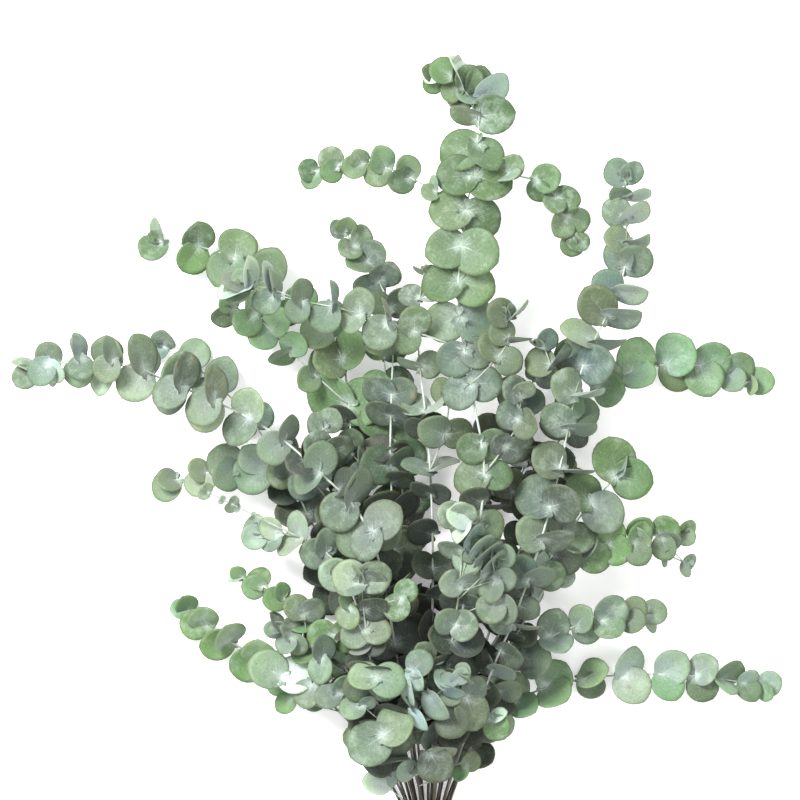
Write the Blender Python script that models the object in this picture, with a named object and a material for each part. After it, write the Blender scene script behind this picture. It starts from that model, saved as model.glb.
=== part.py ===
"""A gathered bunch of round-leaved eucalyptus stems, lying on a flat surface.

Metres, +Z up. The bunch lies along Y, with its cut ends at -Y and its crown at +Y, and it is
seen from above. Each leafy stem, with its side shoots and leaves, is one closed body.
"""

import math
import random

import bpy
from mathutils import Vector
from mathutils.bvhtree import BVHTree

MM = 0.001

# Driving dimensions, in millimetres
STEM_HALF_WIDTH = 1.65
STEM_TIP_HALF_WIDTH = 0.8
SHOOT_HALF_WIDTH = 1.05
SHOOT_TIP_HALF_WIDTH = 0.65
BUD = 1.6
BLADE_THICKNESS = 0.7
ROOT_OFFSET = 0.15
SMALL_BLADE = 36
CLEARANCE = 0.35
OWN_CLEARANCE = 0.1
SURFACE_CLEARANCE = 0.15

# A blade's form, as shares of its breadth: its length, how far its margins rise and its tip
# sags, and how much a six or eight-cornered outline widens to keep a round leaf's area
BLADE_LENGTH = 0.96
BLADE_FOLD = 0.2
BLADE_DROOP = 0.08
OUTLINE_POWER = 0.9
SIX_CORNERS, EIGHT_CORNERS = (6, 1.12), (8, 1.05)

# How much blades vary: spread of lean, roll and lift in degrees, range of size, the last
# pair's forward lean, and how the search for a clear pose widens with each try
SPREAD = (7, 9, 6)
SIZE_RANGE = (0.88, 1.06)
TIP_LEAN = 0.6
TRIES = 60
FIRST_REACH = 5
LEAN_SHARE, ROLL_SHARE = 0.5, 1.4
SHRINK = 0.004

# The gathered base: stems side by side in rows, the lowest row on the surface
CUT_END_Y = -455.0
BUNDLE_TOP_Y = -424.0
BUNDLE_X = 27.0
SLOT_PITCH = 3.65
ROW_PITCH = 3.75
CENTRE_PLACE = 3
RISE_LENGTH = 300.0
SAG_POWER = 1.6
MIDDLE = Vector((-3.0, -56.0, 0.0))

LEAF_COLOUR = (0.16, 0.24, 0.17)
LEAF_ROUGHNESS = 0.62

# How the pairs of blades sit along an axis. Each row of a habit is one pair, and the rows
# repeat towards the tip: degrees from the axis, then roll and lift of the left and right blade.
# Roll 0 shows the blade's face from above, roll 90 its edge.
OPEN = ((82, 10, -12, 10, 3), (78, -14, 12, 0, 12), (84, 18, 8, 8, -4))
STACKED = ((78, 14, 26, 34, -18), (82, -24, 10, -10, 36), (74, 18, -16, 28, 24))
FORWARD = ((43, 12, -28, 10, 26), (39, -22, 14, 28, 8), (46, 22, -12, 12, 32))
SHINGLED = ((112, 12, -12, 4, 2), (106, 16, -8, 0, 6), (115, 8, -14, 6, -2))
CROWNED = 5 * SHINGLED + (
    (86, -70, 8, 4, 6), (66, 14, 42, 6, 12), (86, 20, 68, 10, 8), (70, -20, 24, 10, 20),
)
LEANING = ((44, 8, -30, 4, 54), (38, -12, 24, 8, 60), (47, 16, -28, -4, 50))
WINGED = ((76, 10, 72, 6, 8), (70, 24, 20, -10, 22), (66, -12, 64, 14, 6), (72, 30, -16, 6, 24))
SIDED = ((74, 10, 68, 18, 16), (60, -20, 24, -8, 30), (78, 16, 74, 26, 8), (66, -8, 62, 8, 24))
TURNED = ((74, 12, 74, 6, 10), (78, 30, -16, 12, -10), (72, -12, 66, -8, 14))
EDGED = ((76, 68, -74, 10, -8), (72, 24, 70, -12, 12), (78, -66, 20, 8, 6))

# Each stem: row and place in the gathered base, height of its leafy part, height of its tip,
# habit, nodes from the base to the tip as (x, y, breadth of that pair's blades), and side
# shoots as (node that they leave, height of the tip over that node, habit, nodes).
STEMS = {
    "stem_crown": dict(
        row=2, place=4, level=98, tip=74, habit=CROWNED,
        nodes=(
            (42, -330, 0), (54, -250, 0), (66, -186, 0), (83, -111, 32), (85, -71, 33),
            (81, -40, 31), (76, -18, 0), (70, 16, 34), (64, 49, 37), (57, 83, 41),
            (57, 118, 43), (61, 153, 43), (66, 190, 43), (72, 224, 42), (78, 256, 41),
            (79, 283, 36), (76, 308, 32), (55, 323, 26), (37, 321, 20),
        ),
        shoots=(
            (12, -6, FORWARD, (
                (34, 209, 22), (10, 221, 26), (-14, 233, 27), (-38, 237, 24), (-62, 234, 24),
                (-84, 228, 21),
            )),
            (13, -10, FORWARD, (
                (106, 227, 26), (140, 220, 27), (157, 204, 26), (167, 181, 26), (172, 163, 24),
            )),
            (8, 12, WINGED, (
                (40, 60, 0), (15, 67, 30), (-13, 77, 31), (-38, 86, 30), (-69, 94, 30),
                (-97, 97, 27), (-124, 104, 28), (-152, 113, 24),
            )),
            (7, 8, TURNED, ((85, 30, 0), (98, 42, 28), (112, 60, 26), (108, 80, 27))),
            (4, 4, STACKED, ((103, -46, 26), (125, -20, 28), (119, 5, 27))),
            (3, 14, EDGED, ((84, -138, 24), (93, -152, 25))),
        ),
    ),
    "stem_right_tall": dict(
        row=2, place=5, level=92, tip=66, habit=SIDED,
        nodes=(
            (68, -325, 0), (94, -265, 28), (112, -221, 34), (128, -178, 32), (142, -135, 36),
            (148, -111, 44), (159, -67, 36), (168, -27, 35), (174, 10, 34), (181, 34, 38),
            (192, 58, 38), (206, 83, 36), (217, 108, 35), (226, 132, 33), (226, 157, 30),
            (225, 181, 29), (225, 203, 28), (225, 220, 25),
        ),
        shoots=(
            (8, 8, EDGED, ((158, 18, 0), (150, 36, 30), (143, 52, 22))),
        ),
    ),
    "stem_far_left": dict(
        row=2, place=3, level=90, tip=50, habit=WINGED,
        nodes=(
            (10, -330, 0), (-4, -250, 0), (-14, -190, 34), (-27, -128, 38), (-43, -104, 42),
            (-82, -73, 36), (-114, -36, 34), (-150, -18, 34), (-186, 0, 36), (-219, 13, 38),
            (-254, 29, 37), (-288, 38, 34), (-320, 40, 30), (-347, 36, 28), (-369, 31, 25),
        ),
        shoots=(
            (5, -8, STACKED, ((-70, -50, 30), (-74, -28, 26))),
        ),
    ),
    "stem_left_inner": dict(
        row=2, place=2, level=80, tip=60, habit=FORWARD,
        nodes=(
            (-8, -330, 0), (-22, -270, 0), (-40, -215, 30), (-52, -176, 30), (-70, -149, 32),
            (-101, -134, 32), (-124, -132, 28), (-137, -132, 25),
        ),
        shoots=(
            (5, 4, OPEN, ((-145, -116, 0), (-165, -104, 11), (-191, -92, 11))),
        ),
    ),
    "stem_low_front": dict(
        row=3, place=1, level=120, tip=120, habit=SHINGLED,
        nodes=(
            (2, -400, 0), (-8, -374, 26), (-17, -335, 42), (-26, -276, 33), (-36, -225, 28),
            (-38, -180, 34),
        ),
        shoots=(),
    ),
    "stem_short_front": dict(
        row=3, place=3, level=122, tip=122, habit=TURNED,
        nodes=(
            (12, -360, 26), (5, -330, 24), (14, -309, 24), (29, -299, 25), (44, -287, 22),
            (60, -275, 18),
        ),
        shoots=(
            (3, 4, STACKED, ((28, -258, 27),)),
        ),
    ),
    "stem_middle_front": dict(
        row=3, place=4, level=110, tip=112, habit=STACKED,
        nodes=(
            (36, -340, 0), (48, -270, 28), (54, -222, 30), (60, -180, 30), (63, -148, 28),
            (57, -118, 27),
        ),
        shoots=(),
    ),
    "stem_left_low": dict(
        row=1, place=1, level=50, tip=28, habit=FORWARD,
        nodes=(
            (-4, -330, 0), (-22, -250, 0), (-44, -170, 32), (-62, -115, 33), (-82, -80, 34),
            (-108, -66, 36), (-136, -64, 35), (-164, -67, 32), (-194, -73, 31), (-224, -80, 28),
        ),
        shoots=(),
    ),
    "stem_upper_inner": dict(
        row=1, place=2, level=60, tip=52, habit=STACKED,
        nodes=(
            (10, -330, 0), (3, -240, 0), (-6, -150, 33), (-12, -60, 34), (-8, 10, 32),
            (-6, 60, 32), (-8, 95, 31), (-22, 120, 30), (-32, 139, 28), (-46, 154, 25),
            (-55, 168, 21),
        ),
        shoots=(
            (3, 6, STACKED, ((-34, -78, 32), (-52, -50, 30))),
        ),
    ),
    "stem_thin_inner": dict(
        row=1, place=3, level=68, tip=80, habit=EDGED,
        nodes=(
            (27, -330, 0), (33, -240, 0), (34, -150, 0), (30, -60, 32), (26, -10, 31),
            (18, 36, 28), (17, 70, 26), (19, 105, 23), (24, 126, 15),
        ),
        shoots=(
            (3, 4, STACKED, ((48, -34, 30), (50, 0, 28))),
        ),
    ),
    "stem_right_pair": dict(
        row=1, place=4, level=64, tip=56, habit=OPEN,
        nodes=(
            (48, -330, 0), (80, -262, 0), (112, -214, 0), (142, -168, 30), (168, -132, 34),
            (188, -104, 40), (217, -76, 44),
        ),
        shoots=(),
    ),
    "stem_right": dict(
        row=1, place=5, level=56, tip=34, habit=FORWARD,
        nodes=(
            (62, -330, 0), (98, -268, 0), (130, -212, 0), (154, -168, 28), (182, -150, 31),
            (208, -142, 30), (234, -137, 29), (259, -135, 27), (280, -134, 22),
        ),
        shoots=(
            (6, -10, EDGED, ((266, -154, 18), (285, -163, 16))),
        ),
    ),
    "stem_right_low": dict(
        row=1, place=6, level=48, tip=26, habit=FORWARD,
        nodes=(
            (74, -335, 0), (100, -290, 30), (124, -256, 34), (148, -236, 34), (178, -224, 31),
            (203, -220, 31), (226, -218, 29), (246, -217, 24),
        ),
        shoots=(),
    ),
    "stem_small_left": dict(
        row=1, place=0, level=46, tip=24, habit=FORWARD,
        nodes=(
            (-24, -318, 24), (-58, -262, 28), (-90, -214, 27), (-119, -196, 24),
            (-136, -186, 25), (-158, -178, 18),
        ),
        shoots=(
            (1, 4, STACKED, ((-94, -246, 26), (-119, -229, 20))),
        ),
    ),
    "stem_low_left": dict(
        row=0, place=0, level=13, tip=0.9, habit=LEANING,
        nodes=(
            (-44, -322, 24), (-78, -298, 26), (-106, -280, 34), (-142, -260, 37),
            (-172, -243, 36), (-197, -226, 32), (-213, -212, 26),
        ),
        shoots=(
            (0, 10, STACKED, ((-62, -292, 0), (-76, -272, 28), (-70, -246, 27))),
        ),
    ),
    "stem_left_back": dict(
        row=0, place=1, level=18, tip=0.6, habit=STACKED,
        nodes=(
            (-12, -330, 0), (-38, -240, 0), (-74, -150, 0), (-118, -62, 32), (-150, -18, 32),
            (-182, 16, 33), (-211, 38, 31), (-238, 54, 25),
        ),
        shoots=(),
    ),
    "stem_upper_left": dict(
        row=0, place=2, level=28, tip=12, habit=STACKED,
        nodes=(
            (-1, -330, 0), (-20, -240, 0), (-40, -150, 0), (-50, -60, 36), (-51, -4, 46),
            (-53, 48, 37), (-76, 72, 36), (-104, 94, 32), (-132, 122, 36), (-166, 144, 36),
            (-202, 157, 33), (-240, 160, 28),
        ),
        shoots=(
            (4, 12, STACKED, (
                (-89, 28, 28), (-112, 50, 30), (-130, 70, 32), (-145, 88, 29), (-168, 92, 26),
            )),
        ),
    ),
    "stem_back_green": dict(
        row=0, place=3, level=36, tip=32, habit=OPEN,
        nodes=(
            (14, -330, 0), (13, -240, 0), (8, -150, 0), (5, -96, 34), (-3, -66, 36),
            (-11, -22, 38), (-14, 20, 30), (-16, 46, 26),
        ),
        shoots=(),
    ),
    "stem_back_centre": dict(
        row=0, place=4, level=24, tip=20, habit=STACKED,
        nodes=(
            (33, -330, 0), (50, -240, 0), (72, -150, 0), (94, -80, 36), (104, -34, 36),
            (118, 0, 32), (138, 24, 28),
        ),
        shoots=(
            (3, 4, STACKED, ((116, -112, 34), (128, -60, 32))),
        ),
    ),
    "stem_far_right": dict(
        row=0, place=5, level=32, tip=0.6, habit=FORWARD,
        nodes=(
            (50, -330, 0), (88, -240, 0), (122, -150, 0), (150, -60, 36), (170, -8, 34),
            (199, 14, 37), (231, 31, 41), (268, 38, 39), (304, 36, 36), (332, 27, 33),
            (353, 18, 26),
        ),
        shoots=(
            (2, 6, STACKED, ((152, -122, 34), (176, -96, 30))),
        ),
    ),
    "stem_low_right": dict(
        row=0, place=6, level=15, tip=0.6, habit=FORWARD,
        nodes=(
            (58, -366, 22), (92, -324, 28), (118, -300, 30), (144, -289, 35), (182, -280, 34),
            (226, -275, 34), (266, -276, 35), (298, -277, 32), (326, -281, 28), (346, -285, 25),
            (364, -289, 22),
        ),
        shoots=(),
    ),
}


def slot_point(row, place):
    """The middle of a stem's cut end in the gathered base."""
    x = BUNDLE_X + (place - CENTRE_PLACE + 0.5 * (row % 2)) * SLOT_PITCH
    return Vector((x, CUT_END_Y, STEM_HALF_WIDTH + row * ROW_PITCH))


def plan_lengths(points):
    """Distance along the route in plan, from its first point to each point."""
    lengths = [0.0]
    for before, after in zip(points, points[1:]):
        lengths.append(lengths[-1] + (after - before).xy.length)
    return lengths


def stem_route(stem):
    """The stem's axis: level along the gathered base, then up to its height and over."""
    start = slot_point(stem["row"], stem["place"])
    points = [start, Vector((start.x, BUNDLE_TOP_Y, start.z))]
    points += [Vector((x, y, start.z)) for x, y, _ in stem["nodes"]]
    lengths = plan_lengths(points)
    flat, whole = lengths[1], lengths[-1]
    for point, length in zip(points[2:], lengths[2:]):
        climb = min((length - flat) / RISE_LENGTH, 1.0)
        point.z += (stem["level"] - start.z) * math.sin(climb * math.pi / 2)
        beyond = max(length - flat - RISE_LENGTH, 0.0) / max(whole - flat - RISE_LENGTH, 1.0)
        point.z -= (stem["level"] - stem["tip"] - STEM_TIP_HALF_WIDTH) * beyond**SAG_POWER
    return points


def shoot_route(origin, height, nodes):
    """A side shoot's axis, from the node that it leaves to its tip."""
    points = [origin.copy()] + [Vector((x, y, origin.z)) for x, y, _ in nodes]
    lengths = plan_lengths(points)
    for point, length in zip(points, lengths):
        point.z += height * length / lengths[-1]
    return points


def mid_points(route):
    """Where the tube bends: its ends, and halfway between neighbouring nodes."""
    halfway = [(before + after) / 2 for before, after in zip(route, route[1:])]
    return [route[0], *halfway, route[-1]]


def axis_frame(route, index):
    """A node's place on the axis, the axis's direction there, its right side and its upper side."""
    bends = mid_points(route)
    before, after = bends[index], bends[index + 1]
    along = (after - before).normalized()
    right = along.cross(Vector((0, 0, 1))).normalized()
    place = after if index == len(route) - 1 else (before + after) / 2
    return place, along, right, right.cross(along)


def tube(route, start, end):
    """A closed four-sided stem along the route, from one half width to the other."""
    bends = mid_points(route)
    lengths = plan_lengths(bends)
    bends[-1] = bends[-1] + BUD * (bends[-1] - bends[-2]).normalized()
    vertices, faces = [], []
    for number, point in enumerate(bends):
        before, after = bends[max(number - 1, 0)], bends[min(number + 1, len(bends) - 1)]
        along = (after - before).normalized()
        right = along.cross(Vector((0, 0, 1))).normalized()
        upper = right.cross(along)
        half = start + (end - start) * lengths[number] / lengths[-1]
        corners = ((1, 1), (-1, 1), (-1, -1), (1, -1))
        vertices += [point + half * (side * right + height * upper) for side, height in corners]
    for ring in range(0, 4 * len(bends) - 4, 4):
        for corner in range(4):
            low, next_low = ring + corner, ring + (corner + 1) % 4
            faces.append((low, low + 4, next_low + 4, next_low))
    last = 4 * len(bends) - 4
    faces.append((0, 1, 2, 3))
    faces.append((last + 3, last + 2, last + 1, last))
    return vertices, faces


class Leaf:
    """A round blade: its root on the axis, its three directions and its breadth."""

    def __init__(self, root, along, across, breadth):
        self.root = root
        self.along = along
        self.across = across
        self.normal = along.cross(across)
        self.breadth = breadth

    def middle_points(self):
        """Outline of the blade's middle plane, from the root round by the tip."""
        corners, fullness = SIX_CORNERS if self.breadth < SMALL_BLADE else EIGHT_CORNERS
        length = self.breadth * BLADE_LENGTH
        for corner in range(corners):
            turn = 2 * math.pi * corner / corners
            along = length * (1 - math.cos(turn)) / 2
            across = self.breadth * fullness / 2 * abs(math.sin(turn)) ** OUTLINE_POWER
            raised = BLADE_FOLD * across - BLADE_DROOP * along**2 / length
            side = 1 if corner <= corners / 2 else -1
            yield self.root + along * self.along + side * across * self.across + raised * self.normal

    def solid(self, extra=0.0, rooted=True):
        """Vertices and triangles of the blade, thicker and wider by extra for a clearance test."""
        middle = list(self.middle_points())
        centre = (middle[0] + middle[len(middle) // 2]) / 2
        if extra:
            middle = [point + (point - centre).normalized() * extra for point in middle]
        if not rooted:
            middle = middle[1:]
        corners, tip = len(middle), len(middle) // 2
        half = (BLADE_THICKNESS / 2 + extra) * self.normal
        vertices = [point + half for point in middle] + [point - half for point in middle]
        round_tip = [(tip + step) % corners for step in range(1, corners)]
        if rooted:
            round_tip.remove(0)
        top = [(tip, first, second) for first, second in zip(round_tip, round_tip[1:])]
        if rooted:
            top.append((0, 1, corners - 1))
        faces = [tuple(reversed(face)) for face in top]
        faces += [tuple(corner + corners for corner in face) for face in top]
        for corner in range(corners):
            following = (corner + 1) % corners
            faces.append((corner, following, following + corners))
            faces.append((corner, following + corners, corner + corners))
        return vertices, faces


def spread_leaf(route, index, side, angle, roll, lift, breadth):
    """A blade on one side of a node, turned in degrees from the axis, about itself and upward."""
    place, along, right, upper = axis_frame(route, index)
    angle, roll, lift = math.radians(angle), math.radians(roll), math.radians(lift)
    level = math.cos(angle) * along + side * math.sin(angle) * right
    direction = math.cos(lift) * level + math.sin(lift) * upper
    facing = math.cos(lift) * upper - math.sin(lift) * level
    normal = math.cos(roll) * facing + math.sin(roll) * direction.cross(facing)
    root = place + ROOT_OFFSET * direction
    return Leaf(root, direction, normal.cross(direction), breadth)


class Obstacle:
    """A body to stay clear of, with its box for a quick first test."""

    def __init__(self, vertices, faces):
        self.tree = BVHTree.FromPolygons(vertices, faces)
        self.low = [min(vertex[axis] for vertex in vertices) for axis in range(3)]
        self.high = [max(vertex[axis] for vertex in vertices) for axis in range(3)]

    def meets(self, other):
        for axis in range(3):
            if self.low[axis] > other.high[axis] or self.high[axis] < other.low[axis]:
                return False
        return bool(self.tree.overlap(other.tree))


def clear_leaf(draw, place, own, others):
    """The pose of a blade that clears its neighbours best, or None where there is no room.

    place makes a blade from changes of angle, roll and lift and from a scale. own holds the
    tubes and earlier blades of the same stem, which it may cross where no pose clears them.
    """
    best, fewest = None, len(own) + 1
    for attempt in range(TRIES):
        reach = 0.0 if attempt == 0 else FIRST_REACH + attempt
        lean, turn, lift = [draw.uniform(-reach, reach) for _ in range(3)]
        leaf = place(lean * LEAN_SHARE, turn * ROLL_SHARE, lift, 1 - SHRINK * attempt)
        test = Obstacle(*leaf.solid(CLEARANCE))
        if test.low[2] < SURFACE_CLEARANCE or any(test.meets(other) for other in others):
            continue
        blade = Obstacle(*leaf.solid(OWN_CLEARANCE, rooted=False))
        crossed = sum(blade.meets(other) for other in own)
        if crossed < fewest:
            best, fewest = leaf, crossed
        if not crossed:
            break
    return best


def leaves_of_axis(name, route, nodes, habit, own, others):
    """The blades of one axis, pair by pair from its first node to its tip."""
    leaves = []
    offset = len(route) - len(nodes)
    for number, (_, _, breadth) in enumerate(nodes):
        if not breadth:
            continue
        draw = random.Random(f"{name} {number}")
        angle, left_roll, right_roll, left_lift, right_lift = habit[number % len(habit)]
        if number == len(nodes) - 1:
            angle *= TIP_LEAN
        for side, roll, lift in ((-1, left_roll, left_lift), (1, right_roll, right_lift)):
            lean, turn, raise_by = [draw.gauss(0, spread) for spread in SPREAD]
            size = breadth * draw.uniform(*SIZE_RANGE)

            def place(more_lean, more_turn, more_lift, scale):
                return spread_leaf(
                    route, number + offset, side, angle + lean + more_lean,
                    roll + turn + more_turn, lift + raise_by + more_lift, size * scale,
                )

            leaf = clear_leaf(draw, place, own, others)
            if leaf:
                own.append(Obstacle(*leaf.solid()))
                leaves.append(leaf)
    return leaves


def axes_of_stem(name, stem):
    """Every axis of a stem as (name, route, nodes, habit, half widths at its two ends)."""
    route = stem_route(stem)
    widths = (STEM_HALF_WIDTH, STEM_TIP_HALF_WIDTH)
    shoot_widths = (SHOOT_HALF_WIDTH, SHOOT_TIP_HALF_WIDTH)
    axes = [(name, route, stem["nodes"], stem["habit"], widths)]
    for number, (node, height, habit, nodes) in enumerate(stem["shoots"]):
        origin = axis_frame(route, node + len(route) - len(stem["nodes"]))[0]
        path = shoot_route(origin, height, nodes)
        axes.append((f"{name} shoot {number}", path, nodes, habit, shoot_widths))
    return axes


def joined(solids):
    """One list of vertices and faces from several solids."""
    vertices, faces = [], []
    for more_vertices, more_faces in solids:
        start = len(vertices)
        vertices += more_vertices
        faces += [tuple(corner + start for corner in face) for face in more_faces]
    return vertices, faces


def grow_bunch():
    """Each stem's tubes and blades, with every blade clear of the other stems."""
    axes = {name: axes_of_stem(name, stem) for name, stem in STEMS.items()}
    tubes = {
        name: [tube(route, *widths) for _, route, _, _, widths in parts]
        for name, parts in axes.items()
    }
    obstacles = {name: Obstacle(*joined(solids)) for name, solids in tubes.items()}
    bunch = {}
    for name, parts in axes.items():
        others = [obstacle for other, obstacle in obstacles.items() if other != name]
        own, leaves = [Obstacle(*solid) for solid in tubes[name]], []
        for axis_name, route, nodes, habit, _ in parts:
            leaves += leaves_of_axis(axis_name, route, nodes, habit, own, others)
        blades = [leaf.solid() for leaf in leaves]
        obstacles[name] = Obstacle(*joined(tubes[name] + blades))
        bunch[name] = (tubes[name], blades)
    return bunch


def new_object(name, solid):
    """An object in the scene from a solid in millimetres, moved to the bunch's own frame."""
    vertices, faces = solid
    mesh = bpy.data.meshes.new(name)
    mesh.from_pydata([(vertex - MIDDLE) * MM for vertex in vertices], [], faces)
    thing = bpy.data.objects.new(name, mesh)
    bpy.context.scene.collection.objects.link(thing)
    return thing


def join_to(stem, repeats):
    """Fuses the repeats into the stem with one union, and removes them."""
    group = bpy.data.collections.new(f"{stem.name} repeats")
    bpy.context.scene.collection.children.link(group)
    for thing in repeats:
        group.objects.link(thing)
    union = stem.modifiers.new("union", "BOOLEAN")
    union.operation = "UNION"
    union.operand_type = "COLLECTION"
    union.collection = group
    union.solver = "MANIFOLD"
    bpy.context.view_layer.objects.active = stem
    with bpy.context.temp_override(object=stem, active_object=stem):
        bpy.ops.object.modifier_apply(modifier=union.name)
    for thing in repeats:
        bpy.data.objects.remove(thing, do_unlink=True)
    bpy.data.collections.remove(group)


def leaf_material(name, shade):
    """The waxy grey-green of the leaves and stems, a little lighter or darker with shade."""
    material = bpy.data.materials.new(f"{name} leaves")
    material.use_nodes = True
    surface = material.node_tree.nodes["Principled BSDF"]
    red, green, blue = LEAF_COLOUR
    surface.inputs["Base Color"].default_value = (red * shade, green * shade, blue * shade, 1)
    surface.inputs["Roughness"].default_value = LEAF_ROUGHNESS
    surface.inputs["Metallic"].default_value = 0.0
    return material


def build():
    """Removes what the scene holds and models the bunch, one object for each stem."""
    for thing in list(bpy.data.objects):
        bpy.data.objects.remove(thing, do_unlink=True)
    for number, (name, (tubes, blades)) in enumerate(grow_bunch().items()):
        stem = new_object(name, tubes[0])
        repeats = tubes[1:] + blades
        join_to(stem, [new_object(f"{name}_part", solid) for solid in repeats])
        stem.data.materials.append(leaf_material(name, 0.85 + 0.05 * (number % 6)))


build()
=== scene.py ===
"""The looks of a gathered bunch of round-leaved eucalyptus stems, lying on a pale floor.

Metres, +Z up. The bunch is seen from straight above, with its cut ends towards the viewer.
"""

import math
import random

import bpy
import numpy as np
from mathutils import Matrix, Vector
from mathutils.bvhtree import BVHTree


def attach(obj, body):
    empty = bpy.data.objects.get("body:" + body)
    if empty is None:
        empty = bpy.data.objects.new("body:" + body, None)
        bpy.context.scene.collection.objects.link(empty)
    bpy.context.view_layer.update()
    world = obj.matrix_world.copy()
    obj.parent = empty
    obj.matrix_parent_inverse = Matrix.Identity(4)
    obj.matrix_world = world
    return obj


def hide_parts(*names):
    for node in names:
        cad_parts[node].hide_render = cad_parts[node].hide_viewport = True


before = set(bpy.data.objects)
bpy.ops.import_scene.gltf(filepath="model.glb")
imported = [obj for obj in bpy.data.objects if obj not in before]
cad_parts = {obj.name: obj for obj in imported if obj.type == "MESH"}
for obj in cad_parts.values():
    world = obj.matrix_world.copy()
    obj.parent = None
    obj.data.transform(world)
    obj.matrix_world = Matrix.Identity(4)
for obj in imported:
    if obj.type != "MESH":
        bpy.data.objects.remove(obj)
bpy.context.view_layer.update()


# The camera looks straight down from far above, so that the stems keep their plan lengths.
# The middle of its view lies a little towards the crown, and the cut ends are out of view.
VIEW_HEIGHT = 6.0
VIEW_WIDTH = 0.8
VIEW_LEVEL = 0.05
VIEW_MIDDLE = (0.003, 0.056)

camera_data = bpy.data.cameras.new("camera")
camera_data.sensor_width = 36.0
camera_data.lens = 36.0 * (VIEW_HEIGHT - VIEW_LEVEL) / VIEW_WIDTH
camera_data.clip_end = 60.0
camera = bpy.data.objects.new("camera", camera_data)
camera.location = (*VIEW_MIDDLE, VIEW_HEIGHT)
bpy.context.scene.collection.objects.link(camera)
bpy.context.scene.camera = camera


# A white floor that glows a little, like a light table, under a white sky. One broad lamp hangs
# above the upper left of the bunch and a weaker one at its right, so that the leaves cast only
# faint, soft shadows.
FLOOR_SIZE = 24.0
FLOOR_COLOUR = (0.93, 0.93, 0.93, 1.0)
FLOOR_GLOW = 0.24
SKY_STRENGTH = 1.4
LAMPS = (
    ("lamp_left", (-1.6, 1.5, 2.6), 1.2, 210.0),
    ("lamp_right", (2.0, -1.2, 2.4), 2.0, 14.0),
)

scene = bpy.context.scene
scene.view_settings.view_transform = "Standard"
sky = bpy.data.worlds.new("sky")
sky.use_nodes = True
sky.node_tree.nodes["Background"].inputs["Color"].default_value = (1.0, 1.0, 1.0, 1.0)
sky.node_tree.nodes["Background"].inputs["Strength"].default_value = SKY_STRENGTH
scene.world = sky

for name, place, size, power in LAMPS:
    lamp_data = bpy.data.lights.new(name, "AREA")
    lamp_data.size = size
    lamp_data.energy = power
    lamp = bpy.data.objects.new(name, lamp_data)
    lamp.location = place
    lamp.rotation_euler = (-Vector(place)).to_track_quat("-Z", "Y").to_euler()
    scene.collection.objects.link(lamp)

half = FLOOR_SIZE / 2
floor_mesh = bpy.data.meshes.new("floor")
floor_mesh.from_pydata(
    [(-half, -half, 0), (half, -half, 0), (half, half, 0), (-half, half, 0)], [], [(0, 1, 2, 3)]
)
floor_paint = bpy.data.materials.new("floor paint")
floor_paint.use_nodes = True
floor_surface = floor_paint.node_tree.nodes["Principled BSDF"]
floor_surface.inputs["Base Color"].default_value = FLOOR_COLOUR
floor_surface.inputs["Roughness"].default_value = 0.9
floor_surface.inputs["Specular IOR Level"].default_value = 0.1
floor_surface.inputs["Emission Color"].default_value = FLOOR_COLOUR
floor_surface.inputs["Emission Strength"].default_value = FLOOR_GLOW
floor_mesh.materials.append(floor_paint)
floor = bpy.data.objects.new("floor", floor_mesh)
scene.collection.objects.link(floor)


# Woody stems of eucalyptus, cut at one end and gathered there in rows, without a tie. Each
# leans out of the gathered base in its own direction and carries thinner side shoots. Young
# wood is green under a white bloom, and turns to streaked grey-brown bark towards the cut.
MM = 0.001
MIDDLE = Vector((-3.0, -56.0, 0.0))
STEM_HALF_WIDTH = 1.65
STEM_TIP_HALF_WIDTH = 0.8
SHOOT_HALF_WIDTH = 1.05
SHOOT_TIP_HALF_WIDTH = 0.65
BUD = 1.6
CUT_END_Y = -455.0
BUNDLE_TOP_Y = -424.0
BUNDLE_X = 27.0
SLOT_PITCH = 3.65
ROW_PITCH = 3.75
CENTRE_PLACE = 3
RISE_LENGTH = 300.0
SAG_POWER = 1.6

# How the pairs of leaves sit along an axis: degrees from the axis, then roll and lift of the
# left and right leaf, one row for each pair
OPEN = ((82, 10, -12, 10, 3), (78, -14, 12, 0, 12), (84, 18, 8, 8, -4))
STACKED = ((78, 14, 26, 34, -18), (82, -24, 10, -10, 36), (74, 18, -16, 28, 24))
FORWARD = ((43, 12, -28, 10, 26), (39, -22, 14, 28, 8), (46, 22, -12, 12, 32))
SHINGLED = ((112, 12, -12, 4, 2), (106, 16, -8, 0, 6), (115, 8, -14, 6, -2))
CROWNED = 5 * SHINGLED + (
    (86, -70, 8, 4, 6), (66, 14, 42, 6, 12), (86, 20, 68, 10, 8), (70, -20, 24, 10, 20),
)
LEANING = ((44, 8, -30, 4, 54), (38, -12, 24, 8, 60), (47, 16, -28, -4, 50))
WINGED = ((76, 10, 72, 6, 8), (70, 24, 20, -10, 22), (66, -12, 64, 14, 6), (72, 30, -16, 6, 24))
SIDED = ((74, 10, 68, 18, 16), (60, -20, 24, -8, 30), (78, 16, 74, 26, 8), (66, -8, 62, 8, 24))
TURNED = ((74, 12, 74, 6, 10), (78, 30, -16, 12, -10), (72, -12, 66, -8, 14))
EDGED = ((76, 68, -74, 10, -8), (72, 24, 70, -12, 12), (78, -66, 20, 8, 6))

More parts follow.
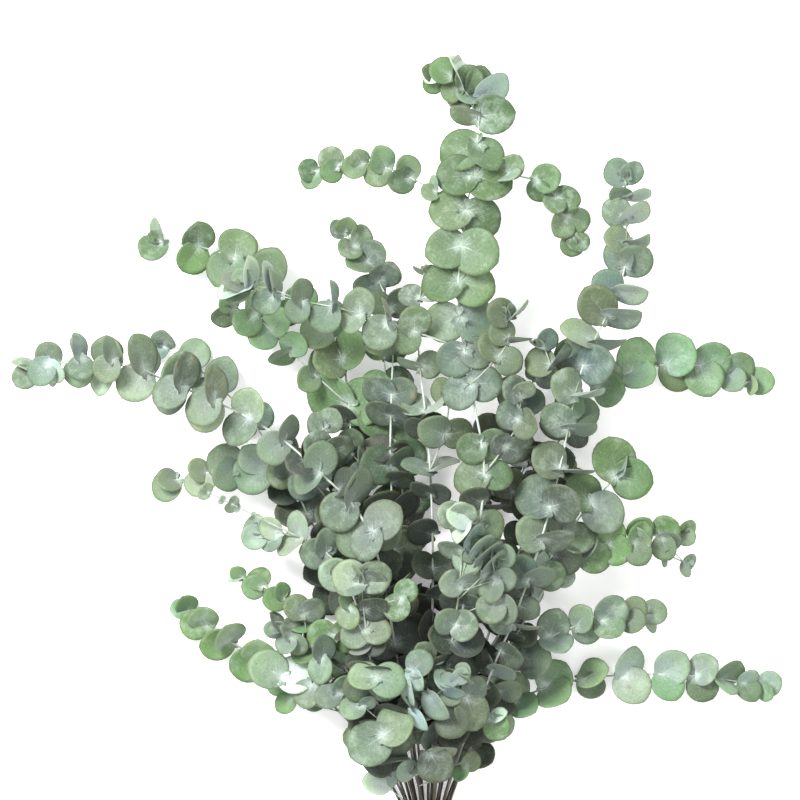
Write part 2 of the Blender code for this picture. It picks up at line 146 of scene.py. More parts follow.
# Each stem: row and place in the gathered base, height of its leafy part and of its tip, how
# its leaves sit, its nodes from base to tip as (x, y, breadth of the pair of leaves), and its
# side shoots as (node that they leave, height of the tip over that node, habit, nodes)
STEMS = {
    "stem_crown": dict(
        row=2, place=4, level=98, tip=74, habit=CROWNED,
        nodes=(
            (42, -330, 0), (54, -250, 0), (66, -186, 0), (83, -111, 32), (85, -71, 33),
            (81, -40, 31), (76, -18, 0), (70, 16, 34), (64, 49, 37), (57, 83, 41),
            (57, 118, 43), (61, 153, 43), (66, 190, 43), (72, 224, 42), (78, 256, 41),
            (79, 283, 36), (76, 308, 32), (55, 323, 26), (37, 321, 20),
        ),
        shoots=(
            (12, -6, FORWARD, (
                (34, 209, 22), (10, 221, 26), (-14, 233, 27), (-38, 237, 24), (-62, 234, 24),
                (-84, 228, 21),
            )),
            (13, -10, FORWARD, (
                (106, 227, 26), (140, 220, 27), (157, 204, 26), (167, 181, 26), (172, 163, 24),
            )),
            (8, 12, WINGED, (
                (40, 60, 0), (15, 67, 30), (-13, 77, 31), (-38, 86, 30), (-69, 94, 30),
                (-97, 97, 27), (-124, 104, 28), (-152, 113, 24),
            )),
            (7, 8, TURNED, ((85, 30, 0), (98, 42, 28), (112, 60, 26), (108, 80, 27))),
            (4, 4, STACKED, ((103, -46, 26), (125, -20, 28), (119, 5, 27))),
            (3, 14, EDGED, ((84, -138, 24), (93, -152, 25))),
        ),
    ),
    "stem_right_tall": dict(
        row=2, place=5, level=92, tip=66, habit=SIDED,
        nodes=(
            (68, -325, 0), (94, -265, 28), (112, -221, 34), (128, -178, 32), (142, -135, 36),
            (148, -111, 44), (159, -67, 36), (168, -27, 35), (174, 10, 34), (181, 34, 38),
            (192, 58, 38), (206, 83, 36), (217, 108, 35), (226, 132, 33), (226, 157, 30),
            (225, 181, 29), (225, 203, 28), (225, 220, 25),
        ),
        shoots=(
            (8, 8, EDGED, ((158, 18, 0), (150, 36, 30), (143, 52, 22))),
        ),
    ),
    "stem_far_left": dict(
        row=2, place=3, level=90, tip=50, habit=WINGED,
        nodes=(
            (10, -330, 0), (-4, -250, 0), (-14, -190, 34), (-27, -128, 38), (-43, -104, 42),
            (-82, -73, 36), (-114, -36, 34), (-150, -18, 34), (-186, 0, 36), (-219, 13, 38),
            (-254, 29, 37), (-288, 38, 34), (-320, 40, 30), (-347, 36, 28), (-369, 31, 25),
        ),
        shoots=(
            (5, -8, STACKED, ((-70, -50, 30), (-74, -28, 26))),
        ),
    ),
    "stem_left_inner": dict(
        row=2, place=2, level=80, tip=60, habit=FORWARD,
        nodes=(
            (-8, -330, 0), (-22, -270, 0), (-40, -215, 30), (-52, -176, 30), (-70, -149, 32),
            (-101, -134, 32), (-124, -132, 28), (-137, -132, 25),
        ),
        shoots=(
            (5, 4, OPEN, ((-145, -116, 0), (-165, -104, 11), (-191, -92, 11))),
        ),
    ),
    "stem_low_front": dict(
        row=3, place=1, level=120, tip=120, habit=SHINGLED,
        nodes=(
            (2, -400, 0), (-8, -374, 26), (-17, -335, 42), (-26, -276, 33), (-36, -225, 28),
            (-38, -180, 34),
        ),
        shoots=(),
    ),
    "stem_short_front": dict(
        row=3, place=3, level=122, tip=122, habit=TURNED,
        nodes=(
            (12, -360, 26), (5, -330, 24), (14, -309, 24), (29, -299, 25), (44, -287, 22),
            (60, -275, 18),
        ),
        shoots=(
            (3, 4, STACKED, ((28, -258, 27),)),
        ),
    ),
    "stem_middle_front": dict(
        row=3, place=4, level=110, tip=112, habit=STACKED,
        nodes=(
            (36, -340, 0), (48, -270, 28), (54, -222, 30), (60, -180, 30), (63, -148, 28),
            (57, -118, 27),
        ),
        shoots=(),
    ),
    "stem_left_low": dict(
        row=1, place=1, level=50, tip=28, habit=FORWARD,
        nodes=(
            (-4, -330, 0), (-22, -250, 0), (-44, -170, 32), (-62, -115, 33), (-82, -80, 34),
            (-108, -66, 36), (-136, -64, 35), (-164, -67, 32), (-194, -73, 31), (-224, -80, 28),
        ),
        shoots=(),
    ),
    "stem_upper_inner": dict(
        row=1, place=2, level=60, tip=52, habit=STACKED,
        nodes=(
            (10, -330, 0), (3, -240, 0), (-6, -150, 33), (-12, -60, 34), (-8, 10, 32),
            (-6, 60, 32), (-8, 95, 31), (-22, 120, 30), (-32, 139, 28), (-46, 154, 25),
            (-55, 168, 21),
        ),
        shoots=(
            (3, 6, STACKED, ((-34, -78, 32), (-52, -50, 30))),
        ),
    ),
    "stem_thin_inner": dict(
        row=1, place=3, level=68, tip=80, habit=EDGED,
        nodes=(
            (27, -330, 0), (33, -240, 0), (34, -150, 0), (30, -60, 32), (26, -10, 31),
            (18, 36, 28), (17, 70, 26), (19, 105, 23), (24, 126, 15),
        ),
        shoots=(
            (3, 4, STACKED, ((48, -34, 30), (50, 0, 28))),
        ),
    ),
    "stem_right_pair": dict(
        row=1, place=4, level=64, tip=56, habit=OPEN,
        nodes=(
            (48, -330, 0), (80, -262, 0), (112, -214, 0), (142, -168, 30), (168, -132, 34),
            (188, -104, 40), (217, -76, 44),
        ),
        shoots=(),
    ),
    "stem_right": dict(
        row=1, place=5, level=56, tip=34, habit=FORWARD,
        nodes=(
            (62, -330, 0), (98, -268, 0), (130, -212, 0), (154, -168, 28), (182, -150, 31),
            (208, -142, 30), (234, -137, 29), (259, -135, 27), (280, -134, 22),
        ),
        shoots=(
            (6, -10, EDGED, ((266, -154, 18), (285, -163, 16))),
        ),
    ),
    "stem_right_low": dict(
        row=1, place=6, level=48, tip=26, habit=FORWARD,
        nodes=(
            (74, -335, 0), (100, -290, 30), (124, -256, 34), (148, -236, 34), (178, -224, 31),
            (203, -220, 31), (226, -218, 29), (246, -217, 24),
        ),
        shoots=(),
    ),
    "stem_small_left": dict(
        row=1, place=0, level=46, tip=24, habit=FORWARD,
        nodes=(
            (-24, -318, 24), (-58, -262, 28), (-90, -214, 27), (-119, -196, 24),
            (-136, -186, 25), (-158, -178, 18),
        ),
        shoots=(
            (1, 4, STACKED, ((-94, -246, 26), (-119, -229, 20))),
        ),
    ),
    "stem_low_left": dict(
        row=0, place=0, level=13, tip=0.9, habit=LEANING,
        nodes=(
            (-44, -322, 24), (-78, -298, 26), (-106, -280, 34), (-142, -260, 37),
            (-172, -243, 36), (-197, -226, 32), (-213, -212, 26),
        ),
        shoots=(
            (0, 10, STACKED, ((-62, -292, 0), (-76, -272, 28), (-70, -246, 27))),
        ),
    ),
    "stem_left_back": dict(
        row=0, place=1, level=18, tip=0.6, habit=STACKED,
        nodes=(
            (-12, -330, 0), (-38, -240, 0), (-74, -150, 0), (-118, -62, 32), (-150, -18, 32),
            (-182, 16, 33), (-211, 38, 31), (-238, 54, 25),
        ),
        shoots=(),
    ),
    "stem_upper_left": dict(
        row=0, place=2, level=28, tip=12, habit=STACKED,
        nodes=(
            (-1, -330, 0), (-20, -240, 0), (-40, -150, 0), (-50, -60, 36), (-51, -4, 46),
            (-53, 48, 37), (-76, 72, 36), (-104, 94, 32), (-132, 122, 36), (-166, 144, 36),
            (-202, 157, 33), (-240, 160, 28),
        ),
        shoots=(
            (4, 12, STACKED, (
                (-89, 28, 28), (-112, 50, 30), (-130, 70, 32), (-145, 88, 29), (-168, 92, 26),
            )),
        ),
    ),
    "stem_back_green": dict(
        row=0, place=3, level=36, tip=32, habit=OPEN,
        nodes=(
            (14, -330, 0), (13, -240, 0), (8, -150, 0), (5, -96, 34), (-3, -66, 36),
            (-11, -22, 38), (-14, 20, 30), (-16, 46, 26),
        ),
        shoots=(),
    ),
    "stem_back_centre": dict(
        row=0, place=4, level=24, tip=20, habit=STACKED,
        nodes=(
            (33, -330, 0), (50, -240, 0), (72, -150, 0), (94, -80, 36), (104, -34, 36),
            (118, 0, 32), (138, 24, 28),
        ),
        shoots=(
            (3, 4, STACKED, ((116, -112, 34), (128, -60, 32))),
        ),
    ),
    "stem_far_right": dict(
        row=0, place=5, level=32, tip=0.6, habit=FORWARD,
        nodes=(
            (50, -330, 0), (88, -240, 0), (122, -150, 0), (150, -60, 36), (170, -8, 34),
            (199, 14, 37), (231, 31, 41), (268, 38, 39), (304, 36, 36), (332, 27, 33),
            (353, 18, 26),
        ),
        shoots=(
            (2, 6, STACKED, ((152, -122, 34), (176, -96, 30))),
        ),
    ),
    "stem_low_right": dict(
        row=0, place=6, level=15, tip=0.6, habit=FORWARD,
        nodes=(
            (58, -366, 22), (92, -324, 28), (118, -300, 30), (144, -289, 35), (182, -280, 34),
            (226, -275, 34), (266, -276, 35), (298, -277, 32), (326, -281, 28), (346, -285, 25),
            (364, -289, 22),
        ),
        shoots=(),
    ),
}


def slot_point(row, place):
    """The middle of a stem's cut end in the gathered base."""
    x = BUNDLE_X + (place - CENTRE_PLACE + 0.5 * (row % 2)) * SLOT_PITCH
    return Vector((x, CUT_END_Y, STEM_HALF_WIDTH + row * ROW_PITCH))


def plan_lengths(points):
    """Distance along the route in plan, from its first point to each point."""
    lengths = [0.0]
    for before, after in zip(points, points[1:]):
        lengths.append(lengths[-1] + (after - before).xy.length)
    return lengths


def stem_route(stem):
    """The stem's axis: level along the gathered base, then up to its height and over."""
    start = slot_point(stem["row"], stem["place"])
    points = [start, Vector((start.x, BUNDLE_TOP_Y, start.z))]
    points += [Vector((x, y, start.z)) for x, y, _ in stem["nodes"]]
    lengths = plan_lengths(points)
    flat, whole = lengths[1], lengths[-1]
    for point, length in zip(points[2:], lengths[2:]):
        climb = min((length - flat) / RISE_LENGTH, 1.0)
        point.z += (stem["level"] - start.z) * math.sin(climb * math.pi / 2)
        beyond = max(length - flat - RISE_LENGTH, 0.0) / max(whole - flat - RISE_LENGTH, 1.0)
        point.z -= (stem["level"] - stem["tip"] - STEM_TIP_HALF_WIDTH) * beyond**SAG_POWER
    return points


def shoot_route(origin, height, nodes):
    """A side shoot's axis, from the node that it leaves to its tip."""
    points = [origin.copy()] + [Vector((x, y, origin.z)) for x, y, _ in nodes]
    lengths = plan_lengths(points)
    for point, length in zip(points, lengths):
        point.z += height * length / lengths[-1]
    return points


def mid_points(route):
    """Where the axis bends: its ends, and halfway between neighbouring nodes."""
    halfway = [(before + after) / 2 for before, after in zip(route, route[1:])]
    return [route[0], *halfway, route[-1]]


def axis_frame(route, index):
    """A node's place on the axis, the axis's direction there, its right side and its upper side."""
    bends = mid_points(route)
    before, after = bends[index], bends[index + 1]
    along = (after - before).normalized()
    right = along.cross(Vector((0, 0, 1))).normalized()
    place = after if index == len(route) - 1 else (before + after) / 2
    return place, along, right, right.cross(along)


def axes_of_stem(name, stem):
    """Every axis of a stem as (name, route, nodes, habit, half widths at its two ends)."""
    route = stem_route(stem)
    widths = (STEM_HALF_WIDTH, STEM_TIP_HALF_WIDTH)
    shoot_widths = (SHOOT_HALF_WIDTH, SHOOT_TIP_HALF_WIDTH)
    axes = [(name, route, stem["nodes"], stem["habit"], widths)]
    for number, (node, height, habit, nodes) in enumerate(stem["shoots"]):
        origin = axis_frame(route, node + len(route) - len(stem["nodes"]))[0]
        path = shoot_route(origin, height, nodes)
        axes.append((f"{name} shoot {number}", path, nodes, habit, shoot_widths))
    return axes


AXES = {name: axes_of_stem(name, stem) for name, stem in STEMS.items()}

SIDES = 8
STEPS = 5
RING_SWELL = 1.32
RING_HALF_LENGTH = 1.1
FINE_WIDTH = 0.96
OLD_LENGTH = 330.0
ROUGH_WIDTH, ROUGH_SIDE = (0.95, 1.04), (0.93, 1.05)
TIP_SHARE = 0.45


def smooth_line(route):
    """The axis as a smooth curve through its nodes: points, and the numbers of those at a node."""
    places = [route[0]] + [axis_frame(route, index)[0] for index in range(1, len(route))]
    points, rings = [places[0]], []
    for index in range(len(places) - 1):
        first, second = places[index], places[index + 1]
        before = places[index - 1] if index else 2 * first - second
        after = places[index + 2] if index + 2 < len(places) else 2 * second - first
        gap = (second - first).length
        shares = [step / STEPS for step in range(1, STEPS)]
        shares += [1 - RING_HALF_LENGTH / gap, 1.0]
        if index + 2 < len(places):
            shares.append(1 + RING_HALF_LENGTH / gap)
        for share in sorted(shares):
            if share > 1:
                points.append(second + (after - second).normalized() * RING_HALF_LENGTH)
                continue
            square, cube = share * share, share**3
            points.append(0.5 * (
                2 * first + (second - before) * share
                + (2 * before - 5 * first + 4 * second - after) * square
                + (3 * first - before - 3 * second + after) * cube
            ))
            if share == 1.0:
                rings.append(len(points) - 1)
    points.append(points[-1] + (points[-1] - points[-2]).normalized() * BUD)
    return points, rings


def rod(points, rings, start, end, seed):
    """A round tapering rod with a swelling at each node: vertices, faces, ages and uvs."""
    lengths = [0.0]
    for before, after in zip(points, points[1:]):
        lengths.append(lengths[-1] + (after - before).length)
    draw = random.Random(seed)
    vertices, faces, ages, uvs = [], [], [], []
    turn = draw.uniform(0, 6)
    for number, point in enumerate(points):
        along = (points[min(number + 1, len(points) - 1)] - points[max(number - 1, 0)]).normalized()
        right = along.cross(Vector((0, 0, 1))).normalized()
        upper = right.cross(along)
        radius = (start + (end - start) * lengths[number] / lengths[-1]) * FINE_WIDTH
        radius *= RING_SWELL if number in rings else draw.uniform(*ROUGH_WIDTH)
        if number == len(points) - 1:
            radius *= TIP_SHARE
        for side in range(SIDES):
            angle = 2 * math.pi * side / SIDES + turn
            lump = radius * draw.uniform(*ROUGH_SIDE)
            vertices.append(point + lump * (math.cos(angle) * right + math.sin(angle) * upper))
            ages.append(max(0.0, 1 - lengths[number] / OLD_LENGTH))
            uvs.append((side / SIDES * 8 * start, lengths[number]))
    for ring in range(len(points) - 1):
        for side in range(SIDES):
            low, next_low = ring * SIDES + side, ring * SIDES + (side + 1) % SIDES
            faces.append((low, next_low, next_low + SIDES, low + SIDES))
    last = SIDES * (len(points) - 1)
    faces.append(tuple(reversed(range(SIDES))))
    faces.append(tuple(last + side for side in range(SIDES)))
    return vertices, faces, ages, uvs


class Wire:
    """A socket of a material. Sums on it add Math nodes, and node() adds any other kind."""

    def __init__(self, tree, socket=None):
        self.tree, self.socket = tree, socket

    def node(self, kind, settings, values, output=0):
        """The output of a new node, whose settings and then values or links are put in."""
        node = self.tree.nodes.new("ShaderNode" + kind)
        for setting, value in settings.items():
            setattr(node, setting, value)
        for key, value in values.items():
            if isinstance(value, Wire):
                self.tree.links.new(value.socket, node.inputs[key])
            else:
                node.inputs[key].default_value = value
        return Wire(self.tree, node.outputs[output])

    def output(self, name):
        """Another output of the same node."""
        return Wire(self.tree, self.socket.node.outputs[name])

    def math(self, operation, *values):
        """A sum over wires and numbers."""
        return self.node("Math", {"operation": operation}, dict(enumerate(values)))

    def __add__(self, other):
        return self.math("ADD", self, other)

    def __radd__(self, other):
        return self.math("ADD", other, self)

    def __sub__(self, other):
        return self.math("SUBTRACT", self, other)

    def __rsub__(self, other):
        return self.math("SUBTRACT", other, self)

    def __mul__(self, other):
        return self.math("MULTIPLY", self, other)

    def __rmul__(self, other):
        return self.math("MULTIPLY", other, self)

    def __abs__(self):
        return self.math("ABSOLUTE", self)

    def fade(self, low, high):
        """0 where the value is at low and 1 where it is at high, with soft ends."""
        settings = {"interpolation_type": "SMOOTHSTEP"}
        return self.node("MapRange", settings, {0: self, 1: low, 2: high})

    def mix(self, first, second):
        """A colour from first to second, by this value."""
        return self.node("Mix", {"data_type": "RGBA"}, {0: self, 6: first, 7: second}, 2)

    def noise(self, scale, detail=3.0, roughness=0.55):
        """Cloudy noise over this vector."""
        values = {"Vector": self, "Scale": scale, "Detail": detail, "Roughness": roughness}
        return self.node("TexNoise", {}, values)


def linear(red, green, blue):
    """A colour for a shader from its 0 to 255 parts."""
    parts = [part / 255 for part in (red, green, blue)]
    return (*[p / 12.92 if p <= 0.04045 else ((p + 0.055) / 1.055) ** 2.4 for p in parts], 1.0)


def new_finish(name):
    """A material, its surface node's inputs by name, and a wire to begin its sums from."""
    material = bpy.data.materials.new(name)
    material.use_nodes = True
    return material, material.node_tree.nodes["Principled BSDF"].inputs, Wire(material.node_tree)


def join_wire(wire, socket):
    """Links a finished sum to one of the surface's sockets."""
    wire.tree.links.new(wire.socket, socket)


bark_finish, bark_surface, wire = new_finish("streaked bark")
age = wire.node("Attribute", {"attribute_name": "age"}, {}, 2)
spot = wire.node("UVMap", {"uv_map": "bark"}, {})
streaks = wire.node("Mapping", {}, {"Vector": spot, "Scale": (0.9, 0.09, 1.0)}).noise(1.0, 4.0)
flecks = wire.node("Mapping", {}, {"Vector": spot, "Scale": (1.6, 0.5, 1.0)}).noise(1.0, 2.0)
wood_place = wire.node("TexCoord", {}, {}, 3)
patches = wood_place.noise(38.0, 3.0)
young = patches.fade(0.35, 0.62).mix(linear(122, 138, 108), linear(182, 192, 184))
middling = (streaks * 1.1).fade(0.38, 0.68).mix(linear(88, 84, 70), linear(168, 172, 168))
old = streaks.fade(0.4, 0.7).mix(linear(34, 29, 23), linear(86, 78, 66))
bark_colour = (age + (patches - 0.5) * 0.3).fade(0.05, 0.4).mix(young, middling)
bark_colour = (age + (patches - 0.5) * 0.3).fade(0.5, 0.85).mix(bark_colour, old)
bark_colour = (flecks.fade(0.6, 0.72) * 0.75).mix(bark_colour, linear(52, 50, 44))
join_wire(bark_colour, bark_surface["Base Color"])
join_wire(0.62 + 0.25 * streaks, bark_surface["Roughness"])
bark_relief = wire.node(
    "Bump", {}, {"Strength": 0.6, "Distance": 0.0004, "Height": streaks + 0.4 * flecks}
)
join_wire(bark_relief, bark_surface["Normal"])
bark_surface["Specular IOR Level"].default_value = 0.3

cut_finish, cut_surface, wire = new_finish("cut wood")
cut_grain = wire.node("TexCoord", {}, {}, 3).noise(900.0, 3.0)
cut_colour = cut_grain.fade(0.3, 0.7).mix(linear(176, 160, 122), linear(206, 194, 160))
join_wire(cut_colour, cut_surface["Base Color"])
join_wire(0.7 + 0.2 * cut_grain, cut_surface["Roughness"])


def new_piece(name, points, faces, finishes):
    """An object from points in millimetres in the bunch's frame, riding on the whole bunch."""
    mesh = bpy.data.meshes.new(name)
    points = (np.asarray(points, dtype=float) - np.array(MIDDLE)) * MM
    mesh.from_pydata(points.tolist(), [], faces)
    for finish in finishes:
        mesh.materials.append(finish)
    piece = bpy.data.objects.new(name, mesh)
    scene.collection.objects.link(piece)
    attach(piece, "root")
    return piece


def paint_points(mesh, name, values):
    """Stores one number or three for each point of the mesh, for the material to read."""
    values = np.asarray(values, dtype=np.float32)
    kind, field = ("FLOAT", "value") if values.ndim == 1 else ("FLOAT_VECTOR", "vector")
    mesh.attributes.new(name, kind, "POINT").data.foreach_set(field, values.ravel())


def lay_map(mesh, name, point_uvs):
    """A UV map from one pair of numbers for each point."""
    layer = mesh.uv_layers.new(name=name)
    corners = np.empty(len(mesh.loops), dtype=np.int32)
    mesh.loops.foreach_get("vertex_index", corners)
    layer.data.foreach_set("uv", np.asarray(point_uvs, dtype=np.float32)[corners].ravel())


def wood_piece(name, node, rods, cut_rods=0):
    """One piece of wood from rods of (vertices, faces, ages, uvs), the first with a cut foot."""
    vertices, faces, ages, uvs, ends = [], [], [], [], []
    for more, more_faces, more_ages, more_uvs in rods:
        offset = len(vertices)
        faces += [tuple(corner + offset for corner in face) for face in more_faces]
        ends.append(len(faces) - 2)
        vertices += more
        ages += more_ages
        uvs += more_uvs
    wood = new_piece(name, vertices, faces, (bark_finish, cut_finish))
    wood.data.polygons.foreach_set("use_smooth", [len(face) == 4 for face in faces])
    for end in ends[:cut_rods]:
        wood.data.polygons[end].material_index = 1
    paint_points(wood.data, "age", ages)
    lay_map(wood.data, "bark", uvs)
    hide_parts(node)


SHOOT_AGE = 0.25

for name, axes in AXES.items():
    rods = []
    for axis_name, route, _, _, (start, end) in axes:
        vertices, faces, ages, uvs = rod(*smooth_line(route), start, end, axis_name)
        oldness = 1.0 if axis_name == name else SHOOT_AGE
        rods.append((vertices, faces, [age * oldness for age in ages], uvs))
    wood_piece(name.replace("stem", "wood"), name, rods, cut_rods=1)


# Round waxy leaves in opposite pairs, each without a stalk and with two lobes at its base that
# meet over the stem. A blade is a thin grey-green skin, folded along its midrib, with a white
# bloom that is thickest round the node, pinnate veins, dark oil dots and a thin brown margin.
BLADE_THICKNESS = 0.7
ROOT_OFFSET = 0.15
SMALL_BLADE = 36
CLEARANCE = 0.35
OWN_CLEARANCE = 0.1
SURFACE_CLEARANCE = 0.15
BLADE_LENGTH, BLADE_MIDDLE = 0.96, 0.4
BLADE_FOLD = 0.2
BLADE_DROOP = 0.08
OUTLINE_POWER = 0.9
SIX_CORNERS, EIGHT_CORNERS = (6, 1.12), (8, 1.05)
SPREAD = (7, 9, 6)
SIZE_RANGE = (0.88, 1.06)
TIP_LEAN = 0.6
TRIES = 60
FIRST_REACH = 5
LEAN_SHARE, ROLL_SHARE = 0.5, 1.4
SHRINK = 0.004


def tube(route, start, end):
    """The plain four-sided stem that the leaves are laid clear of."""
    bends = mid_points(route)
    lengths = plan_lengths(bends)
    bends[-1] = bends[-1] + BUD * (bends[-1] - bends[-2]).normalized()
    vertices, faces = [], []
    for number, point in enumerate(bends):
        before, after = bends[max(number - 1, 0)], bends[min(number + 1, len(bends) - 1)]
        along = (after - before).normalized()
        right = along.cross(Vector((0, 0, 1))).normalized()
        upper = right.cross(along)
        half = start + (end - start) * lengths[number] / lengths[-1]
        corners = ((1, 1), (-1, 1), (-1, -1), (1, -1))
        vertices += [point + half * (side * right + height * upper) for side, height in corners]
    for ring in range(0, 4 * len(bends) - 4, 4):
        for corner in range(4):
            low, next_low = ring + corner, ring + (corner + 1) % 4
            faces.append((low, low + 4, next_low + 4, next_low))
    last = 4 * len(bends) - 4
    faces.append((0, 1, 2, 3))
    faces.append((last + 3, last + 2, last + 1, last))
    return vertices, faces


class Leaf:
    """A leaf's root on the axis, its three directions, its breadth and the spray it grows on."""

    def __init__(self, root, along, across, breadth):
        self.root = root
        self.along = along
        self.across = across
        self.normal = along.cross(across)
        self.breadth = breadth
        self.spray = ""
        self.inner = False
        self.colour = None

    def middle(self):
        """The middle of the round blade."""
        return self.root + BLADE_MIDDLE * self.breadth * self.along

    def middle_points(self):
        """Outline of the plain blade's middle plane, from the root round by the tip."""
        corners, fullness = SIX_CORNERS if self.breadth < SMALL_BLADE else EIGHT_CORNERS
        length = self.breadth * BLADE_LENGTH
        for corner in range(corners):
            turn = 2 * math.pi * corner / corners
            along = length * (1 - math.cos(turn)) / 2
            across = self.breadth * fullness / 2 * abs(math.sin(turn)) ** OUTLINE_POWER
            raised = BLADE_FOLD * across - BLADE_DROOP * along**2 / length
            side = 1 if corner <= corners / 2 else -1
            flat = self.root + along * self.along + side * across * self.across
            yield flat + raised * self.normal

    def solid(self, extra=0.0, rooted=True):
        """Vertices and triangles of the plain blade, thicker and wider by extra."""
        middle = list(self.middle_points())
        centre = (middle[0] + middle[len(middle) // 2]) / 2
        if extra:
            middle = [point + (point - centre).normalized() * extra for point in middle]
        if not rooted:
            middle = middle[1:]
        corners, tip = len(middle), len(middle) // 2
        half = (BLADE_THICKNESS / 2 + extra) * self.normal
        vertices = [point + half for point in middle] + [point - half for point in middle]
        round_tip = [(tip + step) % corners for step in range(1, corners)]
        if rooted:
            round_tip.remove(0)
        top = [(tip, first, second) for first, second in zip(round_tip, round_tip[1:])]
        if rooted:
            top.append((0, 1, corners - 1))
        faces = [tuple(reversed(face)) for face in top]
        faces += [tuple(corner + corners for corner in face) for face in top]
        for corner in range(corners):
            following = (corner + 1) % corners
            faces.append((corner, following, following + corners))
            faces.append((corner, following + corners, corner + corners))
        return vertices, faces


def spread_leaf(seat, side, angle, roll, lift, breadth):
    """A leaf on one side of a node, turned in degrees from the axis, about itself and upward."""
    place, along, right, upper = seat
    angle, roll, lift = math.radians(angle), math.radians(roll), math.radians(lift)
    level = math.cos(angle) * along + side * math.sin(angle) * right
    direction = math.cos(lift) * level + math.sin(lift) * upper
    facing = math.cos(lift) * upper - math.sin(lift) * level
    normal = math.cos(roll) * facing + math.sin(roll) * direction.cross(facing)
    root = place + ROOT_OFFSET * direction
    return Leaf(root, direction, normal.cross(direction), breadth)


class Obstacle:
    """A body to stay clear of, with its box for a quick first test."""

    def __init__(self, vertices, faces):
        self.tree = BVHTree.FromPolygons(vertices, faces)
        self.low = [min(vertex[axis] for vertex in vertices) for axis in range(3)]
        self.high = [max(vertex[axis] for vertex in vertices) for axis in range(3)]

    def meets(self, other):
        """Whether the two bodies cross."""
        for axis in range(3):
            if self.low[axis] > other.high[axis] or self.high[axis] < other.low[axis]:
                return False
        return bool(self.tree.overlap(other.tree))


def clear_leaf(draw, place, own, others):
    """The pose of a leaf that clears its neighbours best, or None where there is no room."""
    best, fewest = None, len(own) + 1
    for attempt in range(TRIES):
        reach = 0.0 if attempt == 0 else FIRST_REACH + attempt
        lean, turn, lift = [draw.uniform(-reach, reach) for _ in range(3)]
        leaf = place(lean * LEAN_SHARE, turn * ROLL_SHARE, lift, 1 - SHRINK * attempt)
        test = Obstacle(*leaf.solid(CLEARANCE))
        if test.low[2] < SURFACE_CLEARANCE or any(test.meets(other) for other in others):
            continue
        blade = Obstacle(*leaf.solid(OWN_CLEARANCE, rooted=False))
        crossed = sum(blade.meets(other) for other in own)
        if crossed < fewest:
            best, fewest = leaf, crossed
        if not crossed:
            break
    return best


def pair_of_leaves(draw, seat, row, breadth, own, others):
    """The two leaves of one node, as far as there is room for them."""
    angle, left_roll, right_roll, left_lift, right_lift = row
    for side, roll, lift in ((-1, left_roll, left_lift), (1, right_roll, right_lift)):
        lean, turn, raise_by = [draw.gauss(0, spread) for spread in SPREAD]
        size = breadth * draw.uniform(*SIZE_RANGE)

        def place(more_lean, more_turn, more_lift, scale):
            return spread_leaf(
                seat, side, angle + lean + more_lean, roll + turn + more_turn,
                lift + raise_by + more_lift, size * scale,
            )

        leaf = clear_leaf(draw, place, own, others)
        if leaf:
            own.append(Obstacle(*leaf.solid()))
            yield leaf


def leaves_of_axis(name, route, nodes, habit, own, others):
    """The leaves of one axis, pair by pair from its first node to its tip."""
    leaves = []
    offset = len(route) - len(nodes)
    for number, (_, _, breadth) in enumerate(nodes):
        if not breadth:
            continue
        angle, *rest = habit[number % len(habit)]
        if number == len(nodes) - 1:
            angle *= TIP_LEAN
        seat = axis_frame(route, number + offset)
        draw = random.Random(f"{name} {number}")
        leaves += pair_of_leaves(draw, seat, (angle, *rest), breadth, own, others)
    for leaf in leaves:
        leaf.spray = name
    return leaves


def joined(solids):
    """One list of vertices and faces from several solids."""
    vertices, faces = [], []
    for more_vertices, more_faces in solids:
        start = len(vertices)
        vertices += more_vertices
        faces += [tuple(corner + start for corner in face) for face in more_faces]
    return vertices, faces


tubes = {name: [tube(axis[1], *axis[4]) for axis in axes] for name, axes in AXES.items()}
obstacles = {name: Obstacle(*joined(solids)) for name, solids in tubes.items()}
leaves = {}
for name, axes in AXES.items():
    others = [obstacle for other, obstacle in obstacles.items() if other != name]
    own, leaves[name] = [Obstacle(*solid) for solid in tubes[name]], []
    for axis_name, route, nodes, habit, _ in axes:
        leaves[name] += leaves_of_axis(axis_name, route, nodes, habit, own, others)
    blades = [leaf.solid() for leaf in leaves[name]]
    obstacles[name] = Obstacle(*joined(tubes[name] + blades))

# Older leaves in the heart of the bunch, on the long bare stretches of the stems there. The
# heart is a wedge that opens upward from the gathered base. Leaves that would stand on edge are
# left off.
INNER_PITCH, INNER_START = 27.0, 0.4
INNER_BREADTH = (26, 38)
INNER_STRETCH = 44.0
HEART_Y = (-375.0, -15.0)
HEART_SLOPE, HEART_OPENING = 0.09, 0.4
HEART_HALF_WIDTH = 38
INNER_OPENNESS = 0.3
INNER_HABIT = (
    (78, 24, -30, 20, -14), (70, -34, 52, -8, 34), (80, 60, -18, 12, 24), (68, -10, 46, 36, -20),
    (76, -62, 28, 18, 30), (72, 34, 70, -24, 8),
)


def in_heart(spot):
    """Whether a place lies in the dense middle of the bunch."""
    low, high = HEART_Y
    rise = spot.y - BUNDLE_TOP_Y
    middle = BUNDLE_X + HEART_SLOPE * rise
    return low < spot.y < high and abs(spot.x - middle) < HEART_HALF_WIDTH + HEART_OPENING * rise


def inner_seats(route):
    """Seats along the bare stretches of a stem, as place, axis, right side and upper side."""
    places = [axis_frame(route, index)[0] for index in range(2, len(route))]
    for place, following in zip(places, places[1:]):
        stretch = following - place
        if stretch.length < INNER_STRETCH:
            continue
        along = stretch.normalized()
        right = along.cross(Vector((0, 0, 1))).normalized()
        count = int(stretch.length / INNER_PITCH)
        for step in range(count):
            spot = place + stretch * (step + INNER_START) / count
            if in_heart(spot):
                yield spot, along, right, right.cross(along)


